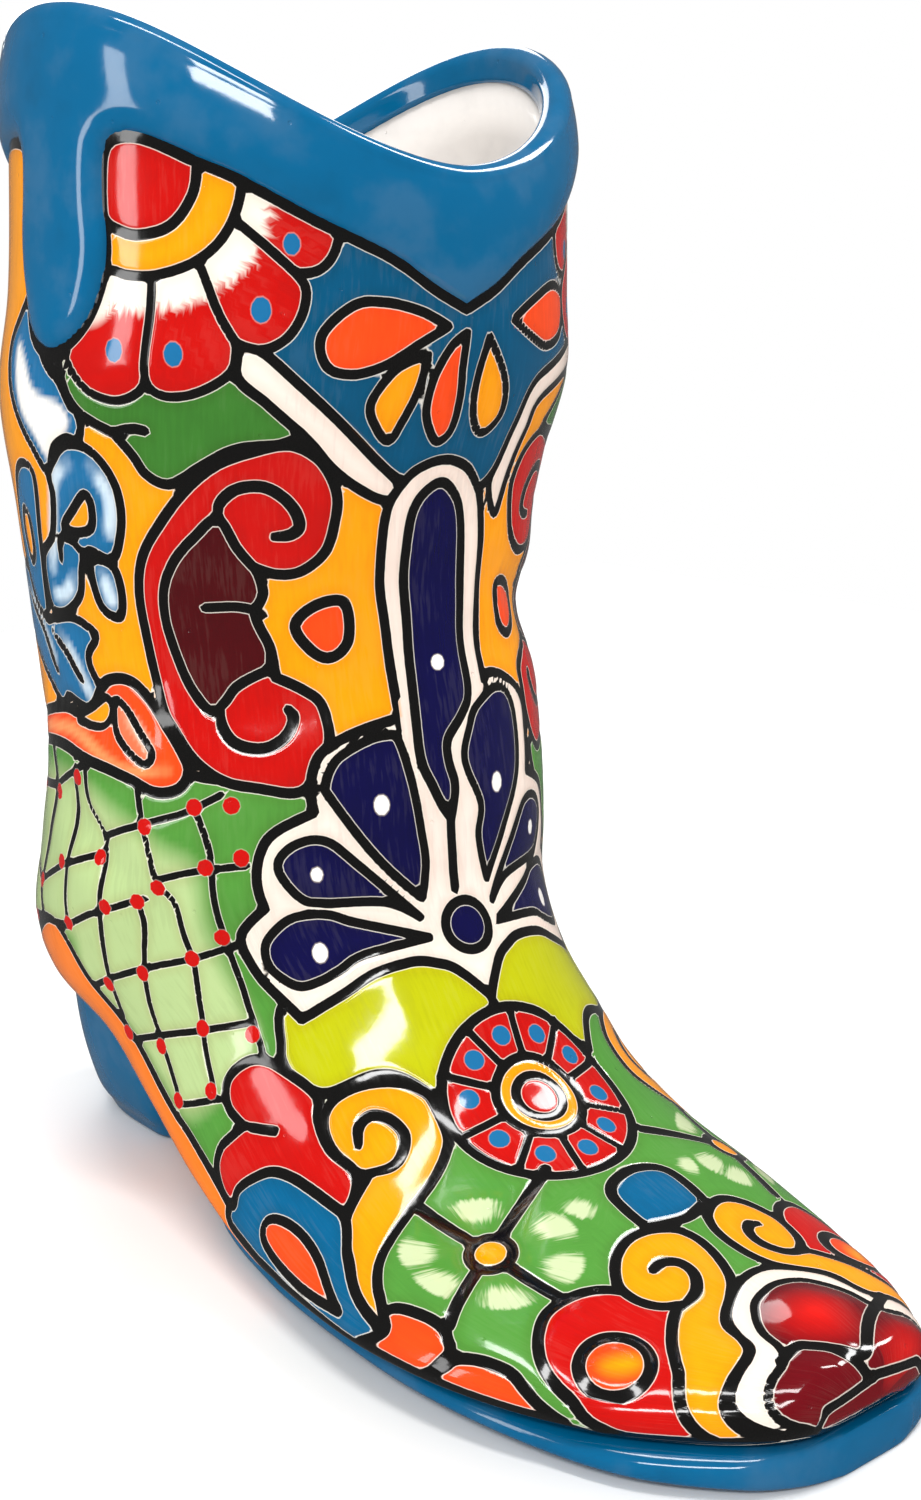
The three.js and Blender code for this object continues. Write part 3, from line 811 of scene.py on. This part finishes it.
# %% Trefoil, arch and side leaves
ARCH = [(58, 280), (66, 268), (76, 267), (87, 272), (94, 278, 0), (94, 322, 0), (80, 316), (72, 302),
        (65, 292)]
art.fill(TRIM, ARCH, mirror=-3)
art.fill(ORANGE, [(82.4, 304, 0), (86, 297), (86.3, 289.4), (84.5, 282.8), (80.3, 279), (76.2, 278),
                  (72.8, 280), (71.2, 284), (72, 289.4), (75.3, 295)], pen=1.1, mirror=-3)
art.fill(RED, [(54.5, 246), (58, 242.8), (62, 242.6), (67, 245), (70.3, 248.3), (72.2, 253.3),
               (70.3, 257.2, 0), (75.3, 259), (80.3, 261), (85.3, 265), (88.3, 270.6), (87, 273.3),
               (82, 270), (75.3, 268), (68.7, 267.2), (64.5, 269.4), (61.2, 274), (58, 280.6, 0),
               (53.7, 277.8), (50, 271.7), (52.4, 265), (52, 258.3), (50, 252.8)], mirror=-3)
art.stroke([(70.3, 257.2), (62.8, 259)], 1.2, mirror=-3)
art.fill(ORANGE, [(90, 312, 0), (76, 311.7), (70.3, 307.8), (65.3, 307.8), (62, 312), (62, 316),
                  (65.3, 319.4), (70.3, 322.2), (90, 325, 0)], mirror=-3)
art.fill(ORANGE, [(90, 324, 0), (77, 324.4), (70.3, 324), (66.2, 326.7), (65.8, 331.7), (70.3, 335.6),
                  (76.2, 339), (90, 346, 0)], mirror=-3)
print("sides of the foot done")

# %% [markdown]
# A yellow knot with four black rays sits on the green each side. Towards the toe come a
# red half moon with an orange eye, a second S-scroll and a blue lobe in the middle.

# %% Knots, half moons, second S-scroll
for middle, ends in ((LEFT_KNOT, [(42.3, 284), (13.5, 285.5), (60, 316), (35, 322)]),
                     (RIGHT_KNOT, [(-47, 284), (-17, 284.5), (-66, 312), (-42, 318)])):
    for end in ends:
        art.stroke([middle, end], 1.5, taper=False)
    art.disc(YELLOW, middle, 5)
art.fill(RED, [(94, 354, 0), (84.5, 348.6), (72, 344), (64, 338.6), (55.7, 332.3), (47.3, 326.4),
               (40.7, 322.7), (34, 321.4), (28.2, 322.3), (24, 326), (20, 336), (24, 341), (39, 352),
               (55, 358), (94, 370, 0)], mirror=-3)
for side in (47.5, -53.5):
    art.disc(ORANGE, (side, 341.5), 7.6, pen=1.4)
    art.tint(YELLOW, circle(side - 1, 342.5, 3.5), 4)
S_LOW = [(24, 325), (21.5, 320.5), (17.3, 316), (12.3, 313.2), (7.3, 313.2), (2.3, 316), (0.3, 321.4),
         (1.1, 328.6), (4, 335), (9, 339.5), (14.8, 343.2), (19, 346.8), (22, 352), (28, 356),
         (43.2, 359), (64, 362.7), (94, 370, 0), (94, 364, 0), (64, 357), (47, 352), (39, 348),
         (30.7, 342.5), (24, 338), (19, 335, 0), (22, 333.5), (24, 330)]
art.fill(YELLOW, S_LOW, mirror=-3)
art.stroke([(19.5, 336), (13.2, 334), (9, 329.5), (8.6, 325), (11.5, 322.7), (14.8, 323.6)], 1.4,
           mirror=-3)
LOBE = [(7, 312, 0), (7.3, 306), (6.5, 299.5), (3.2, 296), (-2.5, 294.5)]
art.fill(TRIM, LOBE + mirrored(LOBE, -2.5)[1:] + [(-2.5, 314)], pen=1.4)
print("knots and moons done")

# %% [markdown]
# The toe ends in three wine-red lobes inside a cream edge. A painted highlight of brighter red sits in
# the middle of each lobe.

# %% Toe cap
TOE = [(-3, 335.5), (3, 336.5), (11.2, 341), (17, 345.3), (20.7, 350), (24, 354.3), (29.5, 356.6),
       (40, 358.6), (56, 361.8), (70, 365.3), (90, 371.3), (120, 380), (180, 383)]
art.fill(CREAM, TOE + mirrored(TOE, -3)[1:-1], pen=1.05)
INNER = [(-3, 341.5), (5.5, 343.5), (11.5, 348), (16.5, 353), (20.5, 358.5), (27, 362), (40.5, 364),
         (57, 367), (75, 371), (120, 382), (180, 390)]
art.fill(WINE, INNER + mirrored(INNER, -3)[1:-1], pen=0.95)
LOBE_LINES = [[(27, 361.5), (17.3, 360.5), (14, 362.3), (9.8, 366), (5.7, 369.5), (0, 369.5),
               (-6, 367.3), (-20, 362), (-40, 357)], [(11, 365), (9, 372), (7, 379), (4, 384)]]
for line in LOBE_LINES:
    art.stroke(line, 1.3, taper=False)
# Painted highlight: a soft spot of brighter red in the middle of each raised lobe, fading out to the
# wine red.
for middle, radius in (((0, 356), 6), ((40, 376), 4), ((-32, 374), 4)):
    art.tint(glaze(228, 22, 12), circle(*middle, radius), 12)
print("toe done")

# %% [markdown]
# A black line follows the blue collar and the straps all the way round. The same outline
# is used again to raise the trim itself.

# %% Outline of the blue trim
HALF_EDGE = [(0, 63.3), (7, 59), (16, 52), (30, 44), (44, 35), (52, 31), (62, 26), (68.5, 25.5),
             (71.5, 29), (72, 40), (71, 50), (72, 58), (75, 66.5), (80, 71), (86, 71.5), (92, 67),
             (96, 58), (97.5, 48), (97, 36), (97.5, 28), (102, 24.5), (115, 25), (128, 30), (136, 35),
             (150, 44), (164, 52), (173, 59)]
TRIM_EDGE = curve(HALF_EDGE + [(180, 63.3)] + mirrored(HALF_EDGE, 180), is_closed=False)
far, _ = reach(art.places, on_boot(TRIM_EDGE + (0, 1.0)))
art.line = np.minimum(art.line, far - 1.5)
print("trim outlined")

# %% [markdown]
# ## Glaze materials
# Fired glaze is a thin sheet of glass over colour. It is glossy all over, thinner on the
# crests so that the colour varies, and never quite flat: light wobbles on its ripples.
# One node group makes the cloudy tone, another the ripples, and each material sets them.

# %% Small helpers for shader nodes


def node(tree, kind, inputs=None, **settings):
    """Adds a node, sets its plain settings, then its sockets by name or number."""
    made = tree.nodes.new(kind)
    for key, value in settings.items():
        setattr(made, key, value)
    for key, value in (inputs or {}).items():
        if isinstance(value, bpy.types.NodeSocket):
            tree.links.new(value, made.inputs[key])
        else:
            made.inputs[key].default_value = value
    return made


def blend(tree, share, first, second, kind="MIX"):
    """Mixes two colours and gives the result's socket."""
    mix = node(tree, "ShaderNodeMix", data_type="RGBA", blend_type=kind)
    for index, value in ((0, share), (6, first), (7, second)):
        if isinstance(value, bpy.types.NodeSocket):
            tree.links.new(value, mix.inputs[index])
        else:
            mix.inputs[index].default_value = value
    return mix.outputs[2]


def math_node(tree, operation, *values):
    """One sum on numbers or sockets; gives the result's socket."""
    return node(tree, "ShaderNodeMath", dict(enumerate(values)), operation=operation).outputs[0]


def ramp(tree, value, low, high, to_low=0.0, to_high=1.0):
    """Maps value from low..high to to_low..to_high, smoothly."""
    made = node(tree, "ShaderNodeMapRange", {0: value, 1: low, 2: high, 3: to_low, 4: to_high},
                interpolation_type="SMOOTHSTEP")
    return made.outputs[0]


def group(name, inputs, outputs):
    """An empty shader node group with named sockets."""
    tree = bpy.data.node_groups.new(name, "ShaderNodeTree")
    for label, kind, value in inputs:
        socket = tree.interface.new_socket(label, in_out="INPUT", socket_type=kind)
        socket.default_value = value
    for label, kind in outputs:
        tree.interface.new_socket(label, in_out="OUTPUT", socket_type=kind)
    return tree, tree.nodes.new("NodeGroupInput"), tree.nodes.new("NodeGroupOutput")


print("node helpers ready")

# %% Cloudy tone of a hand-brushed glaze
FLOAT, COLOR, VECTOR = "NodeSocketFloat", "NodeSocketColor", "NodeSocketVector"
cloudy, given, result = group(
    "brushed_glaze",
    [("Color", COLOR, (0.8, 0.8, 0.8, 1)), ("Along", VECTOR, (0, 0, 0)), ("Amount", FLOAT, 0.3)],
    [("Color", COLOR), ("Streak", FLOAT)])
places_in = node(cloudy, "ShaderNodeTexCoord").outputs["Object"]
clouds = node(cloudy, "ShaderNodeTexNoise", {"Vector": places_in, "Scale": 55.0, "Detail": 4.0})
bristles = {"Vector": given.outputs["Along"], "Scale": (0.9, 0.10, 1.0)}
pulled = node(cloudy, "ShaderNodeMapping", bristles)
streaks = node(cloudy, "ShaderNodeTexNoise", {"Vector": pulled.outputs[0], "Scale": 1.0, "Detail": 3.0})
tone = math_node(cloudy, "ADD", clouds.outputs[0], streaks.outputs[0])
depth = math_node(cloudy, "MULTIPLY", ramp(cloudy, tone, 0.8, 1.2, -1.0, 1.0), given.outputs["Amount"])
plain = given.outputs["Color"]
thick = blend(cloudy, 1.0, plain, (0.45, 0.45, 0.45, 1), "MULTIPLY")
thin = blend(cloudy, 0.10, plain, (1.0, 0.92, 0.75, 1))
darker = blend(cloudy, ramp(cloudy, depth, 0.0, 1.0), plain, thick)
cloudy.links.new(blend(cloudy, ramp(cloudy, depth, 0.0, -1.0), darker, thin), result.inputs["Color"])
cloudy.links.new(streaks.outputs[0], result.inputs["Streak"])
print("brushed tone:", len(cloudy.nodes), "nodes")

# %% Ripples and pinholes in the glaze
rippled, given, result = group(
    "glaze_ripple", [("Lift", FLOAT, 0.0), ("Ripple", FLOAT, 0.3)], [("Height", FLOAT)])
places_in = node(rippled, "ShaderNodeTexCoord").outputs["Object"]
wide = node(rippled, "ShaderNodeTexNoise", {"Vector": places_in, "Scale": 38.0, "Detail": 1.5})
fine = node(rippled, "ShaderNodeTexNoise", {"Vector": places_in, "Scale": 240.0, "Detail": 2.0})
pits = node(rippled, "ShaderNodeTexVoronoi", {"Vector": places_in, "Scale": 130.0})
holes = ramp(rippled, pits.outputs["Distance"], 0.035, 0.075, -0.35, 0.0)
soft = math_node(rippled, "MULTIPLY", wide.outputs[0], given.outputs["Ripple"])
grainy = math_node(rippled, "MULTIPLY_ADD", fine.outputs[0], 0.06, soft)
pitted = math_node(rippled, "ADD", grainy, holes)
summed = math_node(rippled, "ADD", pitted, given.outputs["Lift"])
rippled.links.new(summed, result.inputs["Height"])
print("groups:", [tree.name for tree in bpy.data.node_groups])

# %% One glaze material


def object_place(tree):
    """The corner's place on the object, in metres."""
    return node(tree, "ShaderNodeTexCoord").outputs["Object"]


def glaze_material(name, paint, amount, ripple, lift=None, brush=object_place, gloss=0.09):
    """A glossy material. paint is a colour, or a function that gives the colour's socket."""
    material = bpy.data.materials.new(name)
    material.use_nodes = True
    tree = material.node_tree
    shader = tree.nodes["Principled BSDF"]
    tone = node(tree, "ShaderNodeGroup", node_tree=cloudy)
    tone.inputs["Amount"].default_value = amount
    tree.links.new(brush(tree), tone.inputs["Along"])
    waves = node(tree, "ShaderNodeGroup", node_tree=rippled)
    waves.inputs["Ripple"].default_value = ripple
    if callable(paint):
        colour = paint(tree, tone)
    else:
        tone.inputs["Color"].default_value = (*paint, 1)
        colour = tone.outputs["Color"]
    if lift is not None:
        tree.links.new(lift(tree), waves.inputs["Lift"])
    tree.links.new(colour, shader.inputs["Base Color"])
    bump = node(tree, "ShaderNodeBump",
                {"Height": waves.outputs["Height"], "Strength": 1.0, "Distance": 0.0004})
    tree.links.new(bump.outputs[0], shader.inputs["Normal"])
    rough = ramp(tree, tone.outputs["Streak"], 0.2, 0.8, gloss * 0.7, gloss * 1.5)
    tree.links.new(rough, shader.inputs["Roughness"])
    shader.inputs["Specular IOR Level"].default_value = 0.45
    shader.inputs["Coat Weight"].default_value = 0.25
    shader.inputs["Coat Roughness"].default_value = 0.035
    return material


def note(tree, name, output="Fac"):
    """A number or colour that the painter left on the mesh."""
    return node(tree, "ShaderNodeAttribute", attribute_name=name).outputs[output]


COMB_WHITE, DRY_GREEN = (0.93, 0.86, 0.75, 1), (0.74, 0.80, 0.50, 1)
POOLED, LINE_RIM, DOT_RIM = (0.82, 0.66, 0.6, 1), (0.90, 0.84, 0.74, 1), (0.85, 0.72, 0.62, 1)


def painted(tree, tone):
    """Glaze, combed white, dry daubs, colour pooled at the lines, black lines, then dots."""
    fine_grain = {"Vector": object_place(tree), "Scale": 420.0, "Detail": 2.0}
    grain = node(tree, "ShaderNodeTexNoise", fine_grain)
    shaky = math_node(tree, "MULTIPLY_ADD", grain.outputs[0], 0.2, -0.1)
    streak, wash = tone.outputs["Streak"], note(tree, "wash")
    comb = math_node(tree, "ADD", streak, wash)
    combed = math_node(tree, "MULTIPLY", ramp(tree, comb, 0.9, 1.3), ramp(tree, wash, 0.02, 0.3))
    tree.links.new(note(tree, "glaze", "Color"), tone.inputs["Color"])
    colour = blend(tree, combed, tone.outputs["Color"], COMB_WHITE)
    dry = math_node(tree, "ADD", streak, note(tree, "daub"))
    colour = blend(tree, ramp(tree, dry, 0.95, 1.4, 0.0, 0.75), colour, DRY_GREEN)
    pool = ramp(tree, note(tree, "line"), 0.2, 3.5, 0.35, 0.0)
    colour = blend(tree, pool, colour, blend(tree, 1.0, colour, POOLED, "MULTIPLY"))
    line = math_node(tree, "ADD", note(tree, "line"), shaky)
    rim = ramp(tree, line, 0.18, 0.38, 0.75, 0.0)
    colour = blend(tree, rim, colour, LINE_RIM)
    colour = blend(tree, ramp(tree, line, 0.0, 0.16, 1.0, 0.0), colour, (*INK, 1))
    dot = math_node(tree, "ADD", note(tree, "dot"), shaky)
    colour = blend(tree, ramp(tree, dot, 0.2, 0.45, 0.25, 0.0), colour, DOT_RIM)
    spot = ramp(tree, dot, 0.0, 0.2, 1.0, 0.0)
    return blend(tree, spot, colour, note(tree, "dot_glaze", "Color"))


def line_lift(tree):
    """The black line lies a hair lower than the glaze beside it."""
    return ramp(tree, note(tree, "line"), -0.4, 0.9, 0.0, 0.35)


def brush_place(tree):
    """The way the painter's brush went: across it and along it, in millimetres."""
    return note(tree, "brush", "Vector")


PAINTED = glaze_material("painted_glaze", painted, 0.22, 0.55, lift=line_lift, brush=brush_place)
BLUE_GLAZE = glaze_material("blue_trim_glaze", TRIM, 0.3, 0.7)
WHITE_GLAZE = glaze_material("white_inside_glaze", glaze(238, 232, 226), 0.25, 0.9, gloss=0.2)
print("materials ready")

# %% [markdown]
# ## From notes to a finished body
# The black lines are sunk a fifth of a millimetre and the colours stand up between them.
# Soft diagonal creases dent the ankle, as thrown and folded clay has them.

# %% Relief
LINE_DEPTH, DOT_HEIGHT, LOBE_HEIGHT = 0.22, 0.25, 1.3
normals = np.array([v.normal[:] for v in BODY.verts])
step = np.clip((art.line + 1.2) / 2.4, 0, 1)
raised = LINE_DEPTH * step * step * (3 - 2 * step)
raised = np.where(art.dot < 0.3, np.maximum(raised, DOT_HEIGHT), raised)
lobes = inside(curve(INNER + mirrored(INNER, -3)[1:-1]), art.chart)
raised += np.where(lobes, LOBE_HEIGHT * (1 - np.exp(-(np.maximum(art.line, 0) / 5) ** 2)), 0)
CREASES = [
    ([(101, 168), (87, 178), (78, 186), (66, 197)], 1.5, 7),
    ([(60, 150), (40, 158), (20, 156)], 1.3, 7), ([(112, 140), (92, 150), (70, 151)], 1.4, 7),
    ([(30, 184), (52, 192), (74, 210)], 1.0, 6), ([(-101, 168), (-87, 178), (-70, 190)], 1.5, 7),
    ([(-60, 146), (-30, 152), (-12, 148)], 1.2, 7), ([(180, 166), (140, 160), (120, 152)], 1.4, 8),
    ([(-180, 166), (-145, 158), (-118, 150)], 1.4, 8), ([(44, 128), (20, 133), (0, 130)], 0.8, 6),
    ([(-75, 138), (-42, 138), (-22, 134)], 2.2, 8), ([(95, 92), (70, 84), (40, 90)], 0.7, 8),
]
for crease, depth_mm, width in CREASES:
    line = curve(crease, is_closed=False)
    far, step_on = reach(art.places, on_boot(line))
    ends = np.sin(np.pi * np.clip(step_on / len(line), 0.05, 0.95))
    raised -= depth_mm * ends * np.exp(-(far / width) ** 2)
    raised += 0.45 * depth_mm * ends * np.exp(-((far - 1.7 * width) / width) ** 2)
for i, lift_mm in zip(outer, raised):
    BODY.verts[i].co += Vector(normals[i]) * float(lift_mm) * 0.001
print("relief from", raised.min().round(2), "to", raised.max().round(2), "mm")

# %% Finished body
white_faces = [f.index for f in BODY.faces if any(v[note_down] < -20 for v in f.verts)]
body = to_piece(BODY, "painted_body", PAINTED, ["boot_shell"])
body.data.materials.append(WHITE_GLAZE)
for index in white_faces:
    body.data.polygons[index].material_index = 1
count = len(body.data.vertices)


def leave_note(name, kind, key, values, empty):
    """Writes one of the painter's notes on the mesh as an attribute."""
    whole = np.tile(np.asarray(empty, np.float32), (count, 1))
    whole[outer] = np.reshape(values, (len(outer), -1))
    body.data.attributes.new(name, kind, "POINT").data.foreach_set(key, whole.ravel())


opaque = np.ones((len(outer), 1))
leave_note("glaze", "FLOAT_COLOR", "color", np.hstack([art.colour, opaque]), [1, 1, 1, 1])
leave_note("dot_glaze", "FLOAT_COLOR", "color", np.hstack([art.dot_colour, opaque]), [1, 1, 1, 1])
leave_note("line", "FLOAT", "value", art.line, [9])
leave_note("dot", "FLOAT", "value", art.dot, [9])
leave_note("wash", "FLOAT", "value", art.wash, [0])
leave_note("daub", "FLOAT", "value", art.daub, [0])
leave_note("brush", "FLOAT_VECTOR", "vector", np.hstack([art.brush, 0 * opaque]), [0, 0, 0])
print("notes:", [a.name for a in body.data.attributes if not a.name.startswith(".")])

# %% [markdown]
# ## Blue collar and straps
# The collar and the two straps are one smooth roll of clay. A grid is wrapped round the
# shaft and over the lip. Where a corner lies inside the trim's outline it is raised like
# a rounded bead; outside it sinks into the wall, and those faces are deleted. The sheet
# then gets a thickness, so that it is a closed piece.

# %% How far the trim stands out
LIP = 3.95
BEAD_HEIGHT, BEAD_ROUND = 3.1, 8.5
TRIM_LOW = 222
OUT_ROWS, LIP_ROWS, IN_ROWS = 66, 14, 5
TRIM_LOOP = np.vstack([TRIM_EDGE, [[360, -40], [0, -40]]])


def trim_rows(u, w):
    """Angle, height and distance out from the shaft, for each corner of the trim."""
    turn = u * 360 - 180
    row = w * (OUT_ROWS + LIP_ROWS + IN_ROWS)
    top = rim_height(turn) - LIP
    z = TRIM_LOW + (top - TRIM_LOW) * np.clip(row / OUT_ROWS, 0, 1)
    down = np.interp(t_at_height(turn, z), _fine_t, _fine_down)
    far, _ = reach(boot_point(t_at_down(down), turn), on_boot(TRIM_EDGE))
    within = inside(TRIM_LOOP, np.stack([(turn + 0.001) % 360, down], -1))
    bead = BEAD_HEIGHT * np.sqrt(1 - (1 - np.clip(far, 0, BEAD_ROUND) / BEAD_ROUND) ** 2)
    bead -= 1.6 * np.clip((z - top + 12) / 12, 0, 1) ** 2
    out = np.where(within, bead, np.maximum(-2.2 * far, -2.6))
    turned = np.clip((row - OUT_ROWS) / LIP_ROWS, 0, 1) * math.pi
    over = row > OUT_ROWS + 0.01
    out = np.where(over, 1.5 - LIP + LIP * np.cos(turned), out)
    z = np.where(over, top + LIP * np.sin(turned), z)
    inner = np.clip(row - OUT_ROWS - LIP_ROWS, 0, IN_ROWS)
    return turn, z - 1.4 * inner, np.where(inner > IN_ROWS - 0.5, out + 2.4, out)


def trim_place(u, w):
    """Where a corner of the collar and strap sheet lies."""
    turn, z, out = trim_rows(u, w)
    ring = boot_point(t_at_height(turn, z), turn, -out)
    return np.stack([ring[:, 0], ring[:, 1], z], -1)


print("bead up to", BEAD_HEIGHT, "mm, rounded over", BEAD_ROUND, "mm")

# %% Trim sheet
sheet = bmesh.new()
note_out = sheet.verts.layers.float.new("out")
corners, u, w = bent_grid(sheet, 312, OUT_ROWS + LIP_ROWS + IN_ROWS, trim_place)
for corner, out, row in zip(corners, trim_rows(u, w)[2], w * (OUT_ROWS + LIP_ROWS + IN_ROWS)):
    corner[note_out] = out if row < OUT_ROWS else 9
sunk = [f for f in sheet.faces if all(v[note_out] < -1.6 for v in f.verts)]
bmesh.ops.delete(sheet, geom=sunk, context="FACES")
closed(sheet)
trim = to_piece(sheet, "blue_collar_and_straps", BLUE_GLAZE,
                ["rim_collar", "pull_strap_left", "pull_strap_right"])
wall = trim.modifiers.new("clay", "SOLIDIFY")
wall.thickness, wall.offset = 0.0016, -1.0

# %% [markdown]
# ## Sole and heel
# The sole is a rounded slab that follows the foot's outline and lifts off the table under
# the arch. Each row is: y, left, right, height of the underside. The heel is a block of
# rounded rings that lean in towards the table: height, half width, back, breast.

# %% Sole
SOLE = np.array([
    [-6, 42, 42, 13.5], [-14, 46, 46, 11], [-42, 56, 56, 3], [-71, 61, 60, 0], [-100, 63, 58, 0],
    [-127, 62.5, 52, 0], [-155, 57.5, 46, 0], [-178, 49, 38, 0], [-195, 35, 28, 0],
    [-202, 24, 21, 0], [-204.5, 14, 13, 0],
])


def sole_place(u, w):
    """Where a corner of the sole's slab lies."""
    c, s = np.cos(u * 2 * math.pi), np.sin(u * 2 * math.pi)
    y, left, right, under = along(SOLE, np.clip((w - 0.04) / 0.92, 0, 1)).T
    toe, rear = np.clip((w - 0.96) / 0.04, 0, 1), np.clip((0.04 - w) / 0.04, 0, 1)
    shrink = np.cos(np.maximum(toe, rear) * math.pi / 2)
    thick = 8.5 * np.clip(-y / 60, 0.6, 1) + 1.5
    x = np.where(c < 0, left, right) * np.sign(c) * np.abs(c) ** 0.3 * shrink
    z = thick / 2 * (1 + np.sign(s) * np.abs(s) ** 0.85 * shrink)
    y = y - 0.6 * np.sin(toe * math.pi / 2) + 0.8 * np.sin(rear * math.pi / 2)
    return np.stack([x, y + CENTRE_Y, np.maximum(under, 0) + z], -1)


slab = bmesh.new()
bent_grid(slab, 96, 150, sole_place)
closed(slab, merge=1e-5)
to_piece(slab, "blue_sole", BLUE_GLAZE, ["sole"])

# %% Heel
HEEL = np.array([
    [0, 32.5, 72.5, 22], [1.2, 34, 74, 20.5], [4, 35.5, 75.5, 19.5], [10, 39, 78, 18],
    [25, 43.5, 80, 14], [42, 46, 80.5, 6], [58, 46, 79, 2],
])
arch_t, arch_turn = np.meshgrid(np.linspace(8 / 21, 14 / 21, 90), np.linspace(90, 270, 120))
UNDERSIDE = boot_point(arch_t.ravel(), arch_turn.ravel())


def heel_place(u, w):
    """Where a corner of the heel lies; its top follows the boot's underside."""
    c, s = np.cos(u * 2 * math.pi), np.sin(u * 2 * math.pi)
    z, half, back, breast = along(HEEL, np.clip((w - 0.1) / 0.8, 0, 1)).T
    shrink = np.sin(np.clip(np.minimum(w, 1 - w) / 0.1, 0, 1) * math.pi / 2)
    middle = back - half * 0.95
    x = half * np.sign(s) * np.abs(s) ** (2 / 2.6) * shrink
    rear, fore = (back - middle) * np.abs(c) ** (2 / 2.6), (middle - breast) * np.abs(c) ** (2 / 7)
    y = middle + np.where(c >= 0, rear, -fore) * shrink + CENTRE_Y
    gaps = (x[:, None] - UNDERSIDE[None, :, 0]) ** 2 + (y[:, None] - UNDERSIDE[None, :, 1]) ** 2
    roof = UNDERSIDE[gaps.argmin(axis=1), 2] + 1.5
    return np.stack([x, y, np.where(z > 20, np.minimum(z, roof), z)], -1)


block = bmesh.new()
bent_grid(block, 96, 60, heel_place)
closed(block, merge=1e-5)
to_piece(block, "blue_heel", BLUE_GLAZE, ["heel"])

# %% [markdown]
# ## Light and camera
# A pale table, a wide low lamp from the upper left, a tall one from the right and a strip
# from above draw the long bright marks that a glossy glaze shows. Two weak lamps, low at
# the left and behind, keep the far sides open. Glossy rays don't see the table and see a
# dimmer world, so the black lines stay black.

# %% Floor and world
FLOOR_SIZE = 1.8
bpy.ops.mesh.primitive_plane_add(size=FLOOR_SIZE)
floor = bpy.context.object
floor.name = "floor"
floor.visible_glossy = False
table = bpy.data.materials.new("pale_table")
table.use_nodes = True
matt = table.node_tree.nodes["Principled BSDF"].inputs
matt["Roughness"].default_value = 0.7
matt["Base Color"].default_value = (0.93, 0.93, 0.925, 1)
floor.data.materials.append(table)
world = bpy.data.worlds.new("studio")
bpy.context.scene.world = world
world.use_nodes = True
backdrop = world.node_tree.nodes["Background"]
backdrop.inputs["Color"].default_value = (1, 1, 1, 1)
rays = node(world.node_tree, "ShaderNodeLightPath").outputs
bright = math_node(world.node_tree, "MULTIPLY_ADD", rays["Is Camera Ray"], 0.4, 0.6)
calm = math_node(world.node_tree, "MULTIPLY_ADD", rays["Is Glossy Ray"], -0.45, bright)
world.node_tree.links.new(calm, backdrop.inputs["Strength"])
print("floor", FLOOR_SIZE, "m wide, pale world behind it")

# %% Lights
CENTRE = Vector((0, 0, 0.15))


def soft_light(name, place, size, size_y, power):
    """A rectangular lamp, in metres and watts, that faces the boot's middle."""
    lamp = bpy.data.lights.new(name, "AREA")
    lamp.shape, lamp.size, lamp.size_y, lamp.energy = "RECTANGLE", size, size_y, power
    holder = bpy.data.objects.new(name, lamp)
    holder.location = place
    holder.rotation_euler = (CENTRE - Vector(place)).to_track_quat("-Z", "Y").to_euler()
    bpy.context.scene.collection.objects.link(holder)


soft_light("key", (-1.1, -1.0, 1.25), 0.95, 0.24, 14)
soft_light("window", (0.85, -0.15, 1.15), 0.25, 0.6, 8)
soft_light("strip", (-0.25, -0.1, 1.5), 1.1, 0.16, 9)
soft_light("left", (-1.5, 0.35, 0.5), 0.25, 0.9, 4)
soft_light("back", (0.7, 1.3, 0.9), 0.8, 0.8, 7)
print("lamps:", [lamp.name for lamp in bpy.data.lights])

# %% Camera
lens = bpy.data.cameras.new("camera")
lens.lens, lens.sensor_width = 46.44, 36
camera = bpy.data.objects.new("camera", lens)
camera.location = (-0.2976, -0.3666, 0.240)
camera.rotation_euler = Vector((0.6188, 0.7506, -0.2317)).to_track_quat("-Z", "Y").to_euler()
bpy.context.scene.collection.objects.link(camera)
bpy.context.scene.camera = camera
bpy.context.scene.view_settings.view_transform = "Standard"
print("camera and lights set")
